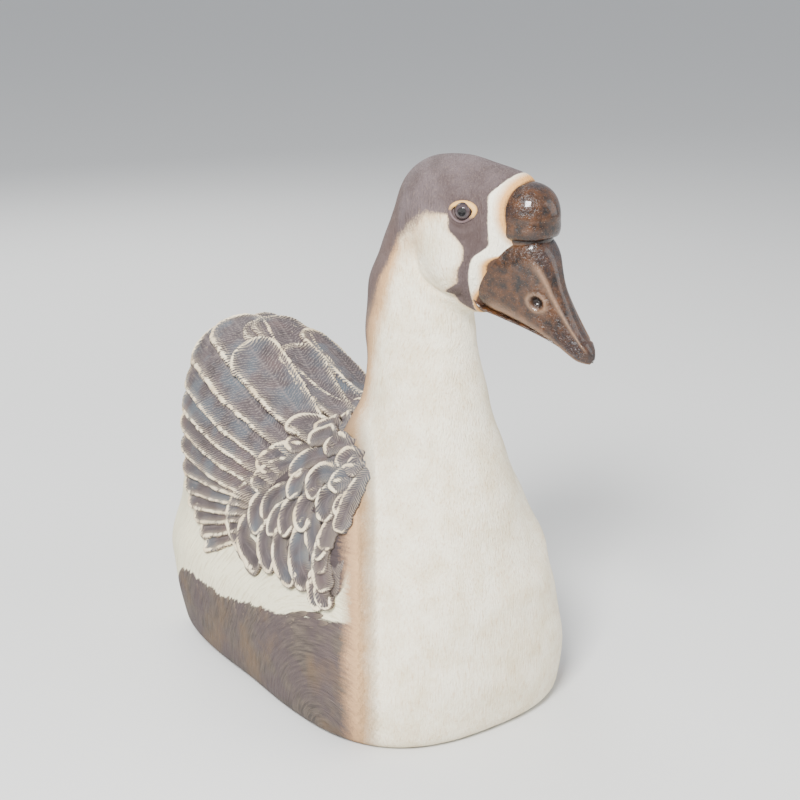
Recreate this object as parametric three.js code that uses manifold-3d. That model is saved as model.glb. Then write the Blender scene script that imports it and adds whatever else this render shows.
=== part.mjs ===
// A stoneware garden goose at rest: millimetres, +Z up, the goose faces -Y and its right side is -X.
// The fired body is one smooth form. It is found along rays that leave a bent spine, from the
// rump over the back and up the neck to the face, and is then parted by thin cuts.
import * as THREE from 'three';
import { mergeVertices } from 'three/addons/utils/BufferGeometryUtils.js';
import Module from 'manifold-3d';

const wasm = await Module();
wasm.setup();

// ---- driving dimensions -------------------------------------------------------------------
const MIDDLE_Y = 150.59; // from the foremost point of the base to the middle of the whole length
const GAP = 0.3; // between two touching parts
const COAT = 6.5; // how far the modelled wing feathers stand over the body
const BODY_MIDDLE_Y = 150;
const BODY_HALF_WIDTH = 101;
const WING_SEAT = 8; // how much narrower the body is under the wings
const ARCH_POWER = 2.4;
const BASE_TUCK = 5; // how far the side draws in over the last FOOT_HEIGHT
const FOOT_HEIGHT = 9;
const BELOW_BASE = 24; // the form runs on this far under the base, which then cuts it flat
const HEAD_TURN = THREE.MathUtils.degToRad(15); // the head looks a little to the goose's left
const NECK_AXIS_Y = 80;
const SKULL = { y: 66, z: 348 };

// Profiles are pairs of where and how much.
const BACK_HEIGHT = [[-10, 96], [40, 132], [80, 168], [110, 182], [146, 184], [190, 193], [235, 214],
  [285, 230], [325, 225], [352, 202], [375, 150]];
const REAR_WALL = [[0, 152], [30, 168], [62, 193], [90, 196], [120, 192], [160, 190], [210, 191]];
const PLAN_POWERS = { foot: 3.5, upper: 2.7 }; // how square the body is, seen from above
const FRONT_WALL = [[0, 14], [40, 9], [90, 13], [150, 30], [205, 62], [260, 90]];
const NECK_MIDDLE = [[0, 86], [40, 86], [86, 84], [149, 78], [204, 73], [225, 73.5], [268, 81.5],
  [300, 83], [345, 84]];
const NECK_HALF_WIDTH = [[0, 86], [40, 91], [86, 87], [149, 67], [204, 46.5], [225, 40], [268, 33.5],
  [300, 30.5], [345, 22]];
const NECK_HALF_DEPTH = [[0, 86], [40, 91], [86, 87], [149, 71], [204, 49.5], [225, 45], [268, 41],
  [300, 35.5], [325, 24.5], [345, 15]];
const NECK_TOP_Z = 345;
// widths of the blends
const JOINS = { neck: 34, neckTop: 20, head: 12, face: 18, brow: 10, jaw: 14, cheek: 8 };

// ---- small maths --------------------------------------------------------------------------
const clamp = THREE.MathUtils.clamp;

function blendDown(a, b, width) {
  const h = Math.max(width - Math.abs(a - b), 0) / width;
  return Math.min(a, b) - (h * h * width) / 4;
}

function blendUp(a, b, width) {
  return -blendDown(-a, -b, width);
}

// A smooth curve through pairs of where and how much, with no overshoot between them.
function along(stops, where) {
  const last = stops.length - 1;
  const t = clamp(where, stops[0][0], stops[last][0]);
  let i = 0;
  while (i < last - 1 && t > stops[i + 1][0]) i += 1;
  const slope = (k) => (stops[k + 1][1] - stops[k][1]) / (stops[k + 1][0] - stops[k][0]);
  const tangent = (k) => {
    if (k === 0) return slope(0);
    if (k === last) return slope(last - 1);
    const product = slope(k - 1) * slope(k);
    return product <= 0 ? 0 : (2 * product) / (slope(k - 1) + slope(k));
  };
  const span = stops[i + 1][0] - stops[i][0];
  const u = (t - stops[i][0]) / span;
  const rise = stops[i + 1][1] - stops[i][1];
  const m0 = tangent(i) * span;
  const m1 = tangent(i + 1) * span;
  return stops[i][1] + u * m0 + u * u * (3 * rise - 2 * m0 - m1) + u * u * u * (m0 + m1 - 2 * rise);
}

// ---- the form, as a field that is negative inside ------------------------------------------
function bodyField(x, y, z) {
  const seat = WING_SEAT * THREE.MathUtils.smoothstep(z, 66, 96);
  const halfWidth = BODY_HALF_WIDTH - seat - 3 * (1 - THREE.MathUtils.smoothstep(z, 0, 40));
  const rear = along(REAR_WALL, z);
  const front = BODY_MIDDLE_Y - along(FRONT_WALL, z);
  const reach = y > BODY_MIDDLE_Y ? rear : front;
  const risen = THREE.MathUtils.smoothstep(z, 20, 90);
  const power = PLAN_POWERS.foot + (PLAN_POWERS.upper - PLAN_POWERS.foot) * risen;
  const across = Math.pow(Math.abs(x) / halfWidth, power);
  const length = Math.pow(Math.abs(y - BODY_MIDDLE_Y) / reach, power);
  const rise = Math.pow(Math.max(z, 0) / along(BACK_HEIGHT, y), ARCH_POWER);
  const sum = across + length + rise - Math.min(length, 1) * Math.min(rise, 1);
  return (Math.pow(sum, 1 / power) - 1) * halfWidth;
}

function neckField(x, y, z) {
  const halfWidth = along(NECK_HALF_WIDTH, z);
  const power = 2 + 0.5 * (1 - THREE.MathUtils.smoothstep(z, 60, 190));
  const across = Math.pow(Math.abs(x) / halfWidth, power);
  const depth = Math.pow(Math.abs(y - along(NECK_MIDDLE, z)) / along(NECK_HALF_DEPTH, z), power);
  const side = (Math.pow(across + depth, 1 / power) - 1) * halfWidth;
  return blendUp(side, z - NECK_TOP_Z, JOINS.neckTop);
}

// An ellipsoid placed in the head: ahead of the skull's middle, out from its middle plane, above it.
function egg(x, y, z, at, size) {
  const ahead = (SKULL.y - y - at[0]) / size[0];
  const out = (Math.abs(x) - at[1]) / size[1];
  const above = (z - SKULL.z - at[2]) / size[2];
  return (Math.hypot(ahead, out, above) - 1) * Math.min(...size);
}

function headField(x, y, z) {
  const skull = egg(x, y, z, [13, 0, 2], [44, 31, 40.5]);
  const brow = egg(x, y, z, [50, 0, 11], [28, 18.5, 24.5]);
  const face = egg(x, y, z, [40, 0, -8], [31, 23, 34]);
  const jaw = egg(x, y, z, [34, 0, -42], [24, 17, 17]);
  const cheek = egg(x, y, z, [24, 12, -22], [22, 19.5, 24]);
  const withFace = blendDown(skull, face, JOINS.face);
  const upper = blendDown(withFace, brow, JOINS.brow);
  return blendDown(blendDown(upper, jaw, JOINS.jaw), cheek, JOINS.cheek);
}

function gooseField(x, y, z) {
  const trunk = blendDown(bodyField(x, y, z), neckField(x, y, z), JOINS.neck);
  const all = blendDown(trunk, headField(x, y, z), JOINS.head);
  const tuck = BASE_TUCK * Math.pow(clamp(1 - z / FOOT_HEIGHT, 0, 1), 2);
  return blendUp(all + tuck, -z - BELOW_BASE, 6);
}

// ---- the bent spine and its rays ----------------------------------------------------------
// Each ring has an origin, a lean of its plane (0 upright across the body, 90 flat across the neck)
// and a fan angle that closes the form at the rump (-90) and at the face (90).
const REAR_ORIGIN = { y: 262, z: 112 };
const BACK_PIVOT = { y: 146, z: 238 };
const THROAT_PIVOT = { y: 30, z: 262 };
const FACE_LEAN = -15;

function spine() {
  const rings = [];
  const add = (y, z, lean, fan, turn) => rings.push({ y, z, lean, fan, turn });
  for (let i = 0; i < 8; i += 1) add(REAR_ORIGIN.y, REAR_ORIGIN.z, 0, -90 + 11.25 * i, 0);
  for (let i = 0; i <= 5; i += 1) {
    const t = i / 5;
    add(REAR_ORIGIN.y + (BACK_PIVOT.y - REAR_ORIGIN.y) * t, REAR_ORIGIN.z - 4 * t, 0, 0, 0);
  }
  for (let i = 1; i <= 13; i += 1) {
    const lean = (90 * i) / 13;
    const reach = 130 - 58 * THREE.MathUtils.smoothstep(lean, 0, 90);
    add(...pointFrom(BACK_PIVOT, lean, -reach), lean, 0, 0);
  }
  add(78, THROAT_PIVOT.z - 10, 90, 0, 0.06);
  for (let i = 0; i <= 12; i += 1) {
    const t = i / 12;
    const lean = 90 + (FACE_LEAN - 90) * t;
    const reach = 52 + 13 * THREE.MathUtils.smoothstep(t, 0, 0.6);
    add(...pointFrom(THROAT_PIVOT, lean, reach), lean, 0, THREE.MathUtils.smoothstep(t, -0.25, 0.45));
  }
  const [y, z] = pointFrom(THROAT_PIVOT, FACE_LEAN, 65);
  for (let i = 1; i < 4; i += 1) add(y, z, FACE_LEAN, 30 * i - 6, 1);
  add(y, z, FACE_LEAN, 90, 1);
  return rings;
}

function pointFrom(pivot, leanDegrees, reach) {
  const lean = THREE.MathUtils.degToRad(leanDegrees);
  return [pivot.y + reach * Math.sin(lean), pivot.z + reach * Math.cos(lean)];
}

function rayDirection(ring, turnRound) {
  const lean = THREE.MathUtils.degToRad(ring.lean);
  const fan = THREE.MathUtils.degToRad(ring.fan);
  const spread = Math.cos(fan) * Math.cos(turnRound);
  return new THREE.Vector3(
    Math.cos(fan) * Math.sin(turnRound),
    -Math.sin(fan) * Math.cos(lean) + spread * Math.sin(lean),
    Math.sin(fan) * Math.sin(lean) + spread * Math.cos(lean),
  );
}

function reachOfForm(from, direction) {
  let near = 0;
  let far = 1;
  const inside = (t) => {
    const p = from.clone().addScaledVector(direction, t);
    return gooseField(p.x, p.y, p.z) < 0;
  };
  while (inside(far)) far += 4;
  near = Math.max(0, far - 4);
  for (let i = 0; i < 30; i += 1) {
    const middle = (near + far) / 2;
    if (inside(middle)) near = middle;
    else far = middle;
  }
  return near;
}

function turnHead(point, share) {
  const angle = HEAD_TURN * share;
  const y = point.y - NECK_AXIS_Y;
  return new THREE.Vector3(
    point.x * Math.cos(angle) - y * Math.sin(angle),
    NECK_AXIS_Y + point.x * Math.sin(angle) + y * Math.cos(angle),
    point.z,
  );
}

// ---- closed solids from rings -------------------------------------------------------------
function closedForm(rings) {
  const positions = [];
  const index = [];
  const columns = Math.max(...rings.map((ring) => ring.length));
  const starts = rings.map((ring) => {
    const start = positions.length / 3;
    ring.forEach((p) => positions.push(p.x, p.y, p.z));
    return start;
  });
  const at = (i, j) => starts[i] + (rings[i].length === 1 ? 0 : j % columns);
  for (let i = 0; i < rings.length - 1; i += 1) {
    for (let j = 0; j < columns; j += 1) {
      if (rings[i].length > 1) index.push(at(i, j), at(i, j + 1), at(i + 1, j));
      if (rings[i + 1].length > 1) index.push(at(i, j + 1), at(i + 1, j + 1), at(i + 1, j));
    }
  }
  const geometry = new THREE.BufferGeometry();
  geometry.setAttribute('position', new THREE.Float32BufferAttribute(positions, 3));
  geometry.setIndex(index);
  return facingOut(geometry);
}

function toManifold(geometry) {
  const bare = geometry.clone();
  bare.deleteAttribute('normal');
  bare.deleteAttribute('uv');
  const merged = mergeVertices(bare, 1e-4);
  return new wasm.Manifold(new wasm.Mesh({
    numProp: 3,
    vertProperties: new Float32Array(merged.attributes.position.array),
    triVerts: new Uint32Array(merged.index.array),
  }));
}

function facingOut(geometry) {
  if (toManifold(geometry).volume() > 0) return geometry;
  const index = geometry.index.array;
  const flipped = [];
  for (let i = 0; i < index.length; i += 3) flipped.push(index[i], index[i + 2], index[i + 1]);
  geometry.setIndex(flipped);
  return geometry;
}

// The same closed form, swollen along its own normals: what is cut away to seat it with a gap.
function swollen(geometry, by) {
  const bare = geometry.clone();
  bare.deleteAttribute('normal');
  bare.deleteAttribute('uv');
  const merged = mergeVertices(bare, 1e-4);
  merged.computeVertexNormals();
  const positions = merged.attributes.position;
  const normals = merged.attributes.normal;
  const point = new THREE.Vector3();
  const normal = new THREE.Vector3();
  for (let i = 0; i < positions.count; i += 1) {
    point.fromBufferAttribute(positions, i);
    normal.fromBufferAttribute(normals, i);
    point.addScaledVector(normal, by);
    positions.setXYZ(i, point.x, point.y, point.z);
  }
  return toManifold(merged);
}

// The whole fired form, grown outwards by a few millimetres where asked.
function goose(columns, grow) {
  const rings = spine().map((ring) => {
    const from = new THREE.Vector3(0, ring.y, ring.z);
    const count = Math.abs(ring.fan) === 90 ? 1 : columns;
    const points = [];
    for (let j = 0; j < count; j += 1) {
      const direction = rayDirection(ring, (2 * Math.PI * j) / columns);
      const reach = reachOfForm(from, direction);
      const point = from.clone().addScaledVector(direction, reach);
      if (grow > 0) point.addScaledVector(outward(point), grow);
      points.push(turnHead(point, ring.turn));
    }
    return points;
  });
  return toManifold(closedForm(rings)).trimByPlane([0, 0, 1], 0);
}

function outward(p) {
  const step = 0.5;
  const slope = new THREE.Vector3(
    gooseField(p.x + step, p.y, p.z) - gooseField(p.x - step, p.y, p.z),
    gooseField(p.x, p.y + step, p.z) - gooseField(p.x, p.y - step, p.z),
    gooseField(p.x, p.y, p.z + step) - gooseField(p.x, p.y, p.z - step),
  );
  return slope.normalize();
}

// A prism across the goose, from its outline seen from the side: pairs of y and z.
function sideForm(outline, xFrom, xTo, smooth) {
  const points = outline.map(([y, z]) => new THREE.Vector2(y, z));
  const closedLoop = [...points, points[0]];
  const shape = new THREE.Shape(smooth ? new THREE.SplineCurve(closedLoop).getPoints(36) : points);
  const geometry = new THREE.ExtrudeGeometry(shape, { depth: xTo - xFrom, bevelEnabled: false });
  const toSide = new THREE.Matrix4().makeBasis(
    new THREE.Vector3(0, 1, 0),
    new THREE.Vector3(0, 0, 1),
    new THREE.Vector3(1, 0, 0),
  );
  geometry.applyMatrix4(toSide);
  geometry.translate(xFrom, 0, 0);
  return geometry;
}

function sideCut(outline, xFrom, xTo, smooth) {
  return toManifold(sideForm(outline, xFrom, xTo, smooth));
}

// A cut can leave slivers: the part is the largest piece.
function largest(solid) {
  return solid.decompose().reduce((best, piece) => (piece.volume() > best.volume() ? piece : best));
}

// ---- head parts, built about the skull's middle and then turned with the head --------------
const BILL_PITCH = THREE.MathUtils.degToRad(37);
const BILL_BASE = { ahead: 62, above: -34 };
const BILL_LENGTH = 72;
const BILL_TOP = [[-14, 25], [0, 36], [10, 34], [30, 21], [50, 11.5], [64, 6.5], [70, 4.5], [73, 2]];
const BILL_EDGE = [[-14, -21], [-5, -24], [10, -19], [30, -11.5], [50, -6.5], [66, -4.5], [73, -2]];
const BILL_HALF_WIDTH = [
  [-14, 20.5], [0, 19.3], [15, 16.5], [35, 13], [55, 10.5], [66, 8.5], [71, 5], [73, 2],
];

// Along the bill, out to the side and up from the bill's own line.
function billPoint(far, side, up) {
  const ahead = BILL_BASE.ahead + far * Math.cos(BILL_PITCH) + up * Math.sin(BILL_PITCH);
  const above = BILL_BASE.above - far * Math.sin(BILL_PITCH) + up * Math.cos(BILL_PITCH);
  return turnHead(new THREE.Vector3(side, SKULL.y - ahead, SKULL.z + above), 1);
}

function billUpper() {
  const rings = [];
  for (let i = 0; i <= 14; i += 1) {
    const far = -14 + (BILL_LENGTH + 15) * Math.sin((Math.PI / 2) * (i / 14));
    const top = along(BILL_TOP, far);
    const edge = along(BILL_EDGE, far);
    const half = along(BILL_HALF_WIDTH, far);
    const ring = [];
    for (let j = 0; j < 16; j += 1) {
      const angle = (2 * Math.PI * j) / 16;
      const up = Math.cos(angle);
      const narrowing = 0.1 + 0.3 * THREE.MathUtils.smoothstep(far, -4, 26);
      const taper = 1 - narrowing * THREE.MathUtils.smoothstep(up, -0.9, 1);
      const power = 0.38 + 0.17 * THREE.MathUtils.smoothstep(up, -0.5, 0.3);
      const side = Math.sign(Math.sin(angle)) * Math.pow(Math.abs(Math.sin(angle)), power) * half * taper;
      const rise = (1 + Math.sign(up) * Math.pow(Math.abs(up), 0.75)) / 2;
      ring.push(billPoint(far, side, edge + (top - edge) * rise));
    }
    rings.push(ring);
  }
  rings.unshift([billPoint(-14, 0, 0)]);
  rings.push([billPoint(73.4, 0, -0.4)]);
  return closedForm(rings);
}

function billLower() {
  const rings = [];
  for (let i = 0; i <= 8; i += 1) {
    const far = -12 + 76 * Math.sin((Math.PI / 2) * (i / 8));
    const edge = along(BILL_EDGE, far) - GAP;
    const half = along(BILL_HALF_WIDTH, far) * 0.86;
    const thick = 4.6 * (1 - 0.6 * THREE.MathUtils.smoothstep(far, 20, 66));
    const ring = [];
    for (let j = 0; j < 16; j += 1) {
      const angle = (2 * Math.PI * j) / 16;
      ring.push(billPoint(far, Math.sin(angle) * half, edge + thick * (0.6 * Math.cos(angle) - 0.6)));
    }
    rings.push(ring);
  }
  rings.unshift([billPoint(-12, 0, along(BILL_EDGE, -12) - 4)]);
  rings.push([billPoint(65, 0, along(BILL_EDGE, 65) - 1.6)]);
  return closedForm(rings);
}

const KNOB = { ahead: 69, above: 9.5, size: [22.8, 19.5, 20.5] };

function knob() {
  const geometry = new THREE.SphereGeometry(1, 18, 11);
  geometry.scale(KNOB.size[1], KNOB.size[0], KNOB.size[2]);
  geometry.translate(0, SKULL.y - KNOB.ahead, SKULL.z + KNOB.above);
  return turned(geometry);
}

const EYE = { ahead: 38, out: 26, above: 11.5, radius: 6 };

function eye(side) {
  const geometry = new THREE.SphereGeometry(EYE.radius, 12, 8);
  geometry.translate(side * EYE.out, SKULL.y - EYE.ahead, SKULL.z + EYE.above);
  return turned(geometry);
}

function turned(geometry) {
  return geometry.translate(0, -NECK_AXIS_Y, 0).rotateZ(HEAD_TURN).translate(0, NECK_AXIS_Y, 0);
}

// ---- parting ------------------------------------------------------------------------------
const WING_OUTLINE = [[52, 122], [60, 86], [112, 96], [168, 99], [226, 88], [258, 90], [288, 110],
  [314, 142], [331, 180], [340, 214], [338, 262], [230, 275], [170, 232], [140, 203], [108, 197],
  [82, 184], [64, 158]];
const TAIL_OUTLINE = [[306, 88], [420, 88], [420, 262], [306, 262]];
const FLANK_OUTLINE = [
  [40, -10], [44, 60], [66, 82], [120, 68], [180, 62], [250, 54], [272, 30], [276, -10],
];
const HEAD_CUT = [[-80, 262], [20, 282], [150, 322]];
const NECK_CUTS = [244, 192];
const NECK_BACK_Y = 134; // the lower neck ends here, over the back
const BREAST_CUT_Y = 62;
const RUMP_CUT_Y = 292;
const FLANK_X = 66; // the flanks lie outside this
const WIDE = 300;
const LOW = -5;
const HIGH = 500;
const ROUND = 34; // facets round the form

function above(line, xHalf) {
  return sideCut([...line, [line[2][0], HIGH], [line[0][0], HIGH]], -xHalf, xHalf, false);
}

// Everything between two planes across the goose, and between two heights.
function between(fromY, toY, low = LOW, high = HIGH) {
  return sideCut([[fromY, low], [toY, low], [toY, high], [fromY, high]], -WIDE, WIDE, false);
}

const skin = goose(ROUND, 0);
const skinAndGap = goose(ROUND, GAP * 1.5);
const coated = goose(ROUND, COAT);

const lift = (line, by) => line.map(([y, z]) => [y, z + by]);
const slab = (low, high) => between(-100, HIGH, low, high);

const faceForms = {
  billUpper: billUpper(),
  billLower: billLower(),
  knob: knob(),
  eyeLeft: eye(1),
  eyeRight: eye(-1),
};
const seats = {};
Object.keys(faceForms).forEach((key) => {
  seats[key] = swollen(faceForms[key], GAP);
});
const knobWhole = toManifold(faceForms.knob);
const billTop = toManifold(faceForms.billUpper).subtract(seats.knob);
const billUnder = toManifold(faceForms.billLower).subtract(seats.billUpper).subtract(seats.knob);
const eyes = { left: toManifold(faceForms.eyeLeft), right: toManifold(faceForms.eyeRight) };
const wingCut = (side, gap) => (side < 0
  ? sideCut(WING_OUTLINE, -WIDE, -gap, true)
  : sideCut(WING_OUTLINE, gap, WIDE, true));
const wings = {
  right: coated.intersect(wingCut(-1, GAP / 2)).subtract(skinAndGap),
  left: coated.intersect(wingCut(1, GAP / 2)).subtract(skinAndGap),
};
const tail = largest(coated.intersect(sideCut(TAIL_OUTLINE, -WIDE, WIDE, false))
  .subtract(swollen(sideForm(WING_OUTLINE, -WIDE, WIDE, true), GAP)).subtract(skinAndGap));

const headCut = above(HEAD_CUT, WIDE);
const headCutLow = above(lift(HEAD_CUT, -GAP), WIDE);
let head = skin.intersect(headCut);
Object.values(seats).forEach((seat) => {
  head = head.subtract(seat);
});
const belowHead = skin.subtract(headCutLow);
const neckUpper = belowHead.intersect(slab(NECK_CUTS[0], HIGH));
const neckLower = belowHead.intersect(slab(NECK_CUTS[1], NECK_CUTS[0] - GAP))
  .intersect(between(-100, NECK_BACK_Y));
const neckRoom = slab(NECK_CUTS[1] - GAP, HIGH).intersect(between(-100, NECK_BACK_Y + GAP));
const under = belowHead.subtract(neckRoom);
const breast = under.intersect(between(-100, BREAST_CUT_Y));
const behindBreast = under.intersect(between(BREAST_CUT_Y + GAP, HIGH));
const flankCut = (side, grow) => {
  const outline = FLANK_OUTLINE.map(([y, z]) => [
    BODY_MIDDLE_Y + (y - BODY_MIDDLE_Y) * (1 + grow / 110),
    z + (z > 0 ? grow : 0),
  ]);
  return side < 0
    ? sideCut(outline, -WIDE, grow - FLANK_X, true)
    : sideCut(outline, FLANK_X - grow, WIDE, true);
};
const flanks = {
  right: behindBreast.intersect(flankCut(-1, 0)),
  left: behindBreast.intersect(flankCut(1, 0)),
};
const noFlanks = behindBreast.subtract(flankCut(-1, GAP)).subtract(flankCut(1, GAP));
const trunk = noFlanks.subtract(between(RUMP_CUT_Y - GAP, HIGH));
const rump = noFlanks.intersect(between(RUMP_CUT_Y, HIGH));

// ---- materials ----------------------------------------------------------------------------
const clay = (name, color, roughness) =>
  new THREE.MeshStandardMaterial({ name, color, roughness, metalness: 0 });
const cream = clay('cream_slip', 0xf0e9d8, 0.75);
const grey = clay('grey_brown_slip', 0x7d6f70, 0.75);
const umber = clay('umber_slip', 0x5f574f, 0.8);
const glaze = clay('brown_glaze', 0x5a3a26, 0.25);
const eyeGlaze = clay('eye_glaze', 0x6a5c56, 0.2);

function meshOf(name, solid, material) {
  const mesh = solid.getMesh();
  const geometry = new THREE.BufferGeometry();
  const positions = new Float32Array(mesh.numVert * 3);
  for (let i = 0; i < mesh.numVert; i += 1) {
    for (let k = 0; k < 3; k += 1) positions[3 * i + k] = mesh.vertProperties[mesh.numProp * i + k];
  }
  geometry.setAttribute('position', new THREE.BufferAttribute(positions, 3));
  geometry.setIndex(new THREE.BufferAttribute(new Uint32Array(mesh.triVerts), 1));
  geometry.computeVertexNormals();
  const part = new THREE.Mesh(geometry, material);
  part.name = name;
  return part;
}

const group = new THREE.Group();
group.position.set(0, -MIDDLE_Y, 0);
const parts = [
  ['breast', breast, cream],
  ['neck_lower', neckLower, cream],
  ['neck_upper', neckUpper, cream],
  ['head', head, grey],
  ['bill_upper', billTop, glaze],
  ['bill_lower', billUnder, glaze],
  ['knob', knobWhole, glaze],
  ['eye_left', eyes.left, eyeGlaze],
  ['eye_right', eyes.right, eyeGlaze],
  ['trunk', trunk, umber],
  ['flank_left', flanks.left, umber],
  ['flank_right', flanks.right, umber],
  ['rump', rump, cream],
  ['wing_left', wings.left, grey],
  ['wing_right', wings.right, grey],
  ['tail', tail, grey],
];
parts.forEach(([name, solid, material]) => {
  const body = largest(solid).simplify(0.03);
  group.add(meshOf(name, body, material));
});

export default group;
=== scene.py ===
# %% [markdown]
# # A stoneware goose, resting in the garden
# The goose is one fired form: a smooth body, neck and head, with wing feathers modelled in relief,
# a glazed bill and knob, and slips painted and dry-brushed over the tooling. This lesson makes the
# form as a field, wraps one grid over it, and lays every feather on the same field.

# %% Load the frame
import math

import bpy
import numpy as np
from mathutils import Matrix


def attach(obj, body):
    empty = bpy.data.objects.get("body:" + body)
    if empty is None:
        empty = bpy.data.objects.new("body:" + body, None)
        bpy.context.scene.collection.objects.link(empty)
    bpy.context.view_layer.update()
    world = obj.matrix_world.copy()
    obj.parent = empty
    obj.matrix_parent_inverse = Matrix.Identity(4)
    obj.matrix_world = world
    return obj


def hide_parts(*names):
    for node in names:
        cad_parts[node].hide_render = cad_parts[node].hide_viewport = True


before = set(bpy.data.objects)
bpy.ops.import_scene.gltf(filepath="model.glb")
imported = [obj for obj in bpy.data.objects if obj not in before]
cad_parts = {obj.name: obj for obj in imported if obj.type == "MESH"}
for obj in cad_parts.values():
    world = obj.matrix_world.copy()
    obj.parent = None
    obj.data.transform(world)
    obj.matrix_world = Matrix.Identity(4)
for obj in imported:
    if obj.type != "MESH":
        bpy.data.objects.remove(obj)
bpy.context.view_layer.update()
print("frame holds", len(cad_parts), "nodes")

# %% [markdown]
# ## Measures
# All shapes are worked out in millimetres with the front of the breast at zero, as a maker would
# measure them on a bench, and moved into the shared frame, in metres, when a mesh is made. A profile
# could be a Bezier curve drawn by hand; a short table of heights and widths is easier to correct.

# %% Sizes in millimetres
MM = 0.001
MIDDLE_Y = 150.59
BODY_MIDDLE_Y = 150.0
BODY_HALF_WIDTH = 101.0
WING_SEAT = 8.0
ARCH_POWER = 2.4
FOOT_POWER, UPPER_POWER = 3.5, 2.7
TAIL_START_Y = 285.0
NECK_AXIS_Y = 80.0
NECK_TOP = 345.0
NECK_JOIN, HEAD_JOIN = 34, 12
SKULL_Y, SKULL_Z = 66.0, 348.0
HEAD_TURN = math.radians(15)
KNOB_AT, KNOB_SIZE = (69.0, 0.0, 9.5), (22.8, 19.5, 20.5)
EYE_AT, EYE_RADIUS = (38.0, 26.0, 11.5), 6.0

BACK_HEIGHT = [(-10, 96), (40, 132), (80, 168), (110, 182), (146, 184), (190, 193), (235, 214),
               (285, 230), (325, 225), (352, 202), (375, 150)]
REAR_WALL = [(0, 152), (30, 168), (62, 193), (90, 196), (120, 192), (160, 190), (210, 191)]
FRONT_WALL = [(0, 14), (40, 9), (90, 13), (150, 30), (205, 62), (260, 90)]
NECK_MIDDLE = [(0, 86), (40, 86), (86, 84), (149, 78), (204, 73), (225, 73.5), (268, 81.5),
               (300, 83), (345, 84)]
NECK_HALF_WIDTH = [(0, 86), (40, 91), (86, 87), (149, 67), (204, 46.5), (225, 40), (268, 33.5),
                   (300, 30.5), (345, 22)]
NECK_HALF_DEPTH = [(0, 86), (40, 91), (86, 87), (149, 71), (204, 49.5), (225, 45), (268, 41),
                   (300, 35.5), (325, 24.5), (345, 15)]
print("neck tables of", len(NECK_MIDDLE), "heights, back table of", len(BACK_HEIGHT), "places")


# %% Curves and soft joins
def smooth(x, low, high):
    """0 below low, 1 above high, with level ends: t * t * (3 - 2t)."""
    t = np.clip((np.asarray(x, float) - low) / (high - low), 0.0, 1.0)
    return t * t * (3.0 - 2.0 * t)


def bell(x, middle, width, power=2):
    """1 at the middle, fading to both sides: exp(-((x - middle) / width)^power)."""
    return np.exp(-(((x - middle) / width) ** power))


def around(count):
    """Angles once round a ring, as a row."""
    return np.linspace(0, 2 * np.pi, count, endpoint=False)[None]


def along(stops, where):
    """A curve through (where, how much) pairs, in cubic pieces. The slope at a pair is
    2ab / (a + b) of the chords on its two sides, so the curve never overshoots."""
    t, v = np.array(stops, float).T
    slope = np.diff(v) / np.diff(t)
    product = slope[:-1] * slope[1:]
    total = np.where(product > 0, slope[:-1] + slope[1:], 1.0)
    inner = np.where(product > 0, 2.0 * product / total, 0.0)
    tangent = np.concatenate([slope[:1], inner, slope[-1:]])
    x = np.clip(where, t[0], t[-1])
    i = np.clip(np.searchsorted(t, x, side="right") - 1, 0, len(t) - 2)
    span = t[i + 1] - t[i]
    u = (x - t[i]) / span
    rise = v[i + 1] - v[i]
    m0, m1 = tangent[i] * span, tangent[i + 1] * span
    return v[i] + u * m0 + u**2 * (3 * rise - 2 * m0 - m1) + u**3 * (m0 + m1 - 2 * rise)


def blend_down(a, b, width):
    """The lower of two fields, rounded where they cross within width."""
    h = np.maximum(width - np.abs(a - b), 0.0) / width
    return np.minimum(a, b) - h * h * width / 4.0


def blend_up(a, b, width):
    """The higher of two fields, rounded where they cross within width."""
    return -blend_down(-a, -b, width)


print("the neck's half width at its middle:", float(along(NECK_HALF_WIDTH, 225.0)), "mm")

# %% [markdown]
# ## The form
# A thrown and joined clay form flows from one volume to the next. It could be sculpted, or built from
# blended balls. Fields do the same exactly: each volume is a number that is negative inside, and a
# rounded minimum joins them as a thumb would smooth the clay.

# %% The body and neck as fields
def body_field(x, y, z, longer=0.0):
    """A long bowl: (across + length + rise - cut)^(1 / n) = 1, where each term is a share of its
    reach to a power, and cut fills the top of the rear out. A longer rear carries the feather
    tips, which stand free of the clay behind them."""
    seat = WING_SEAT * smooth(z, 66, 96)
    half = BODY_HALF_WIDTH - seat - 3.0 * (1.0 - smooth(z, 0, 40))
    front = BODY_MIDDLE_Y - along(FRONT_WALL, z)
    wall = np.where(y > BODY_MIDDLE_Y, along(REAR_WALL, z) + longer, front)
    power = FOOT_POWER + (UPPER_POWER - FOOT_POWER) * smooth(z, 20, 90)
    across = (np.abs(x) / half) ** power
    length = (np.abs(y - BODY_MIDDLE_Y) / wall) ** power
    behind = TAIL_START_Y + (y - TAIL_START_Y) / (1 + longer / 40)
    height = along(BACK_HEIGHT, np.where(y > TAIL_START_Y, behind, y))
    rise = (np.maximum(z, 0.0) / height) ** ARCH_POWER
    total = across + length + rise - np.minimum(length, 1.0) * np.minimum(rise, 1.0)
    return (total ** (1.0 / power) - 1.0) * half


def neck_field(x, y, z):
    """Oval slices, (across + depth)^(1 / n) = 1, whose middle and size change with height."""
    half = along(NECK_HALF_WIDTH, z)
    power = 2.0 + 0.5 * (1.0 - smooth(z, 60, 190))
    across = (np.abs(x) / half) ** power
    depth = (np.abs(y - along(NECK_MIDDLE, z)) / along(NECK_HALF_DEPTH, z)) ** power
    side = ((across + depth) ** (1.0 / power) - 1.0) * half
    return blend_up(side, z - NECK_TOP, 20.0)


print("field at the middle of the body", round(float(body_field(0.0, 150.0, 60.0)), 1), "mm")


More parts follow.
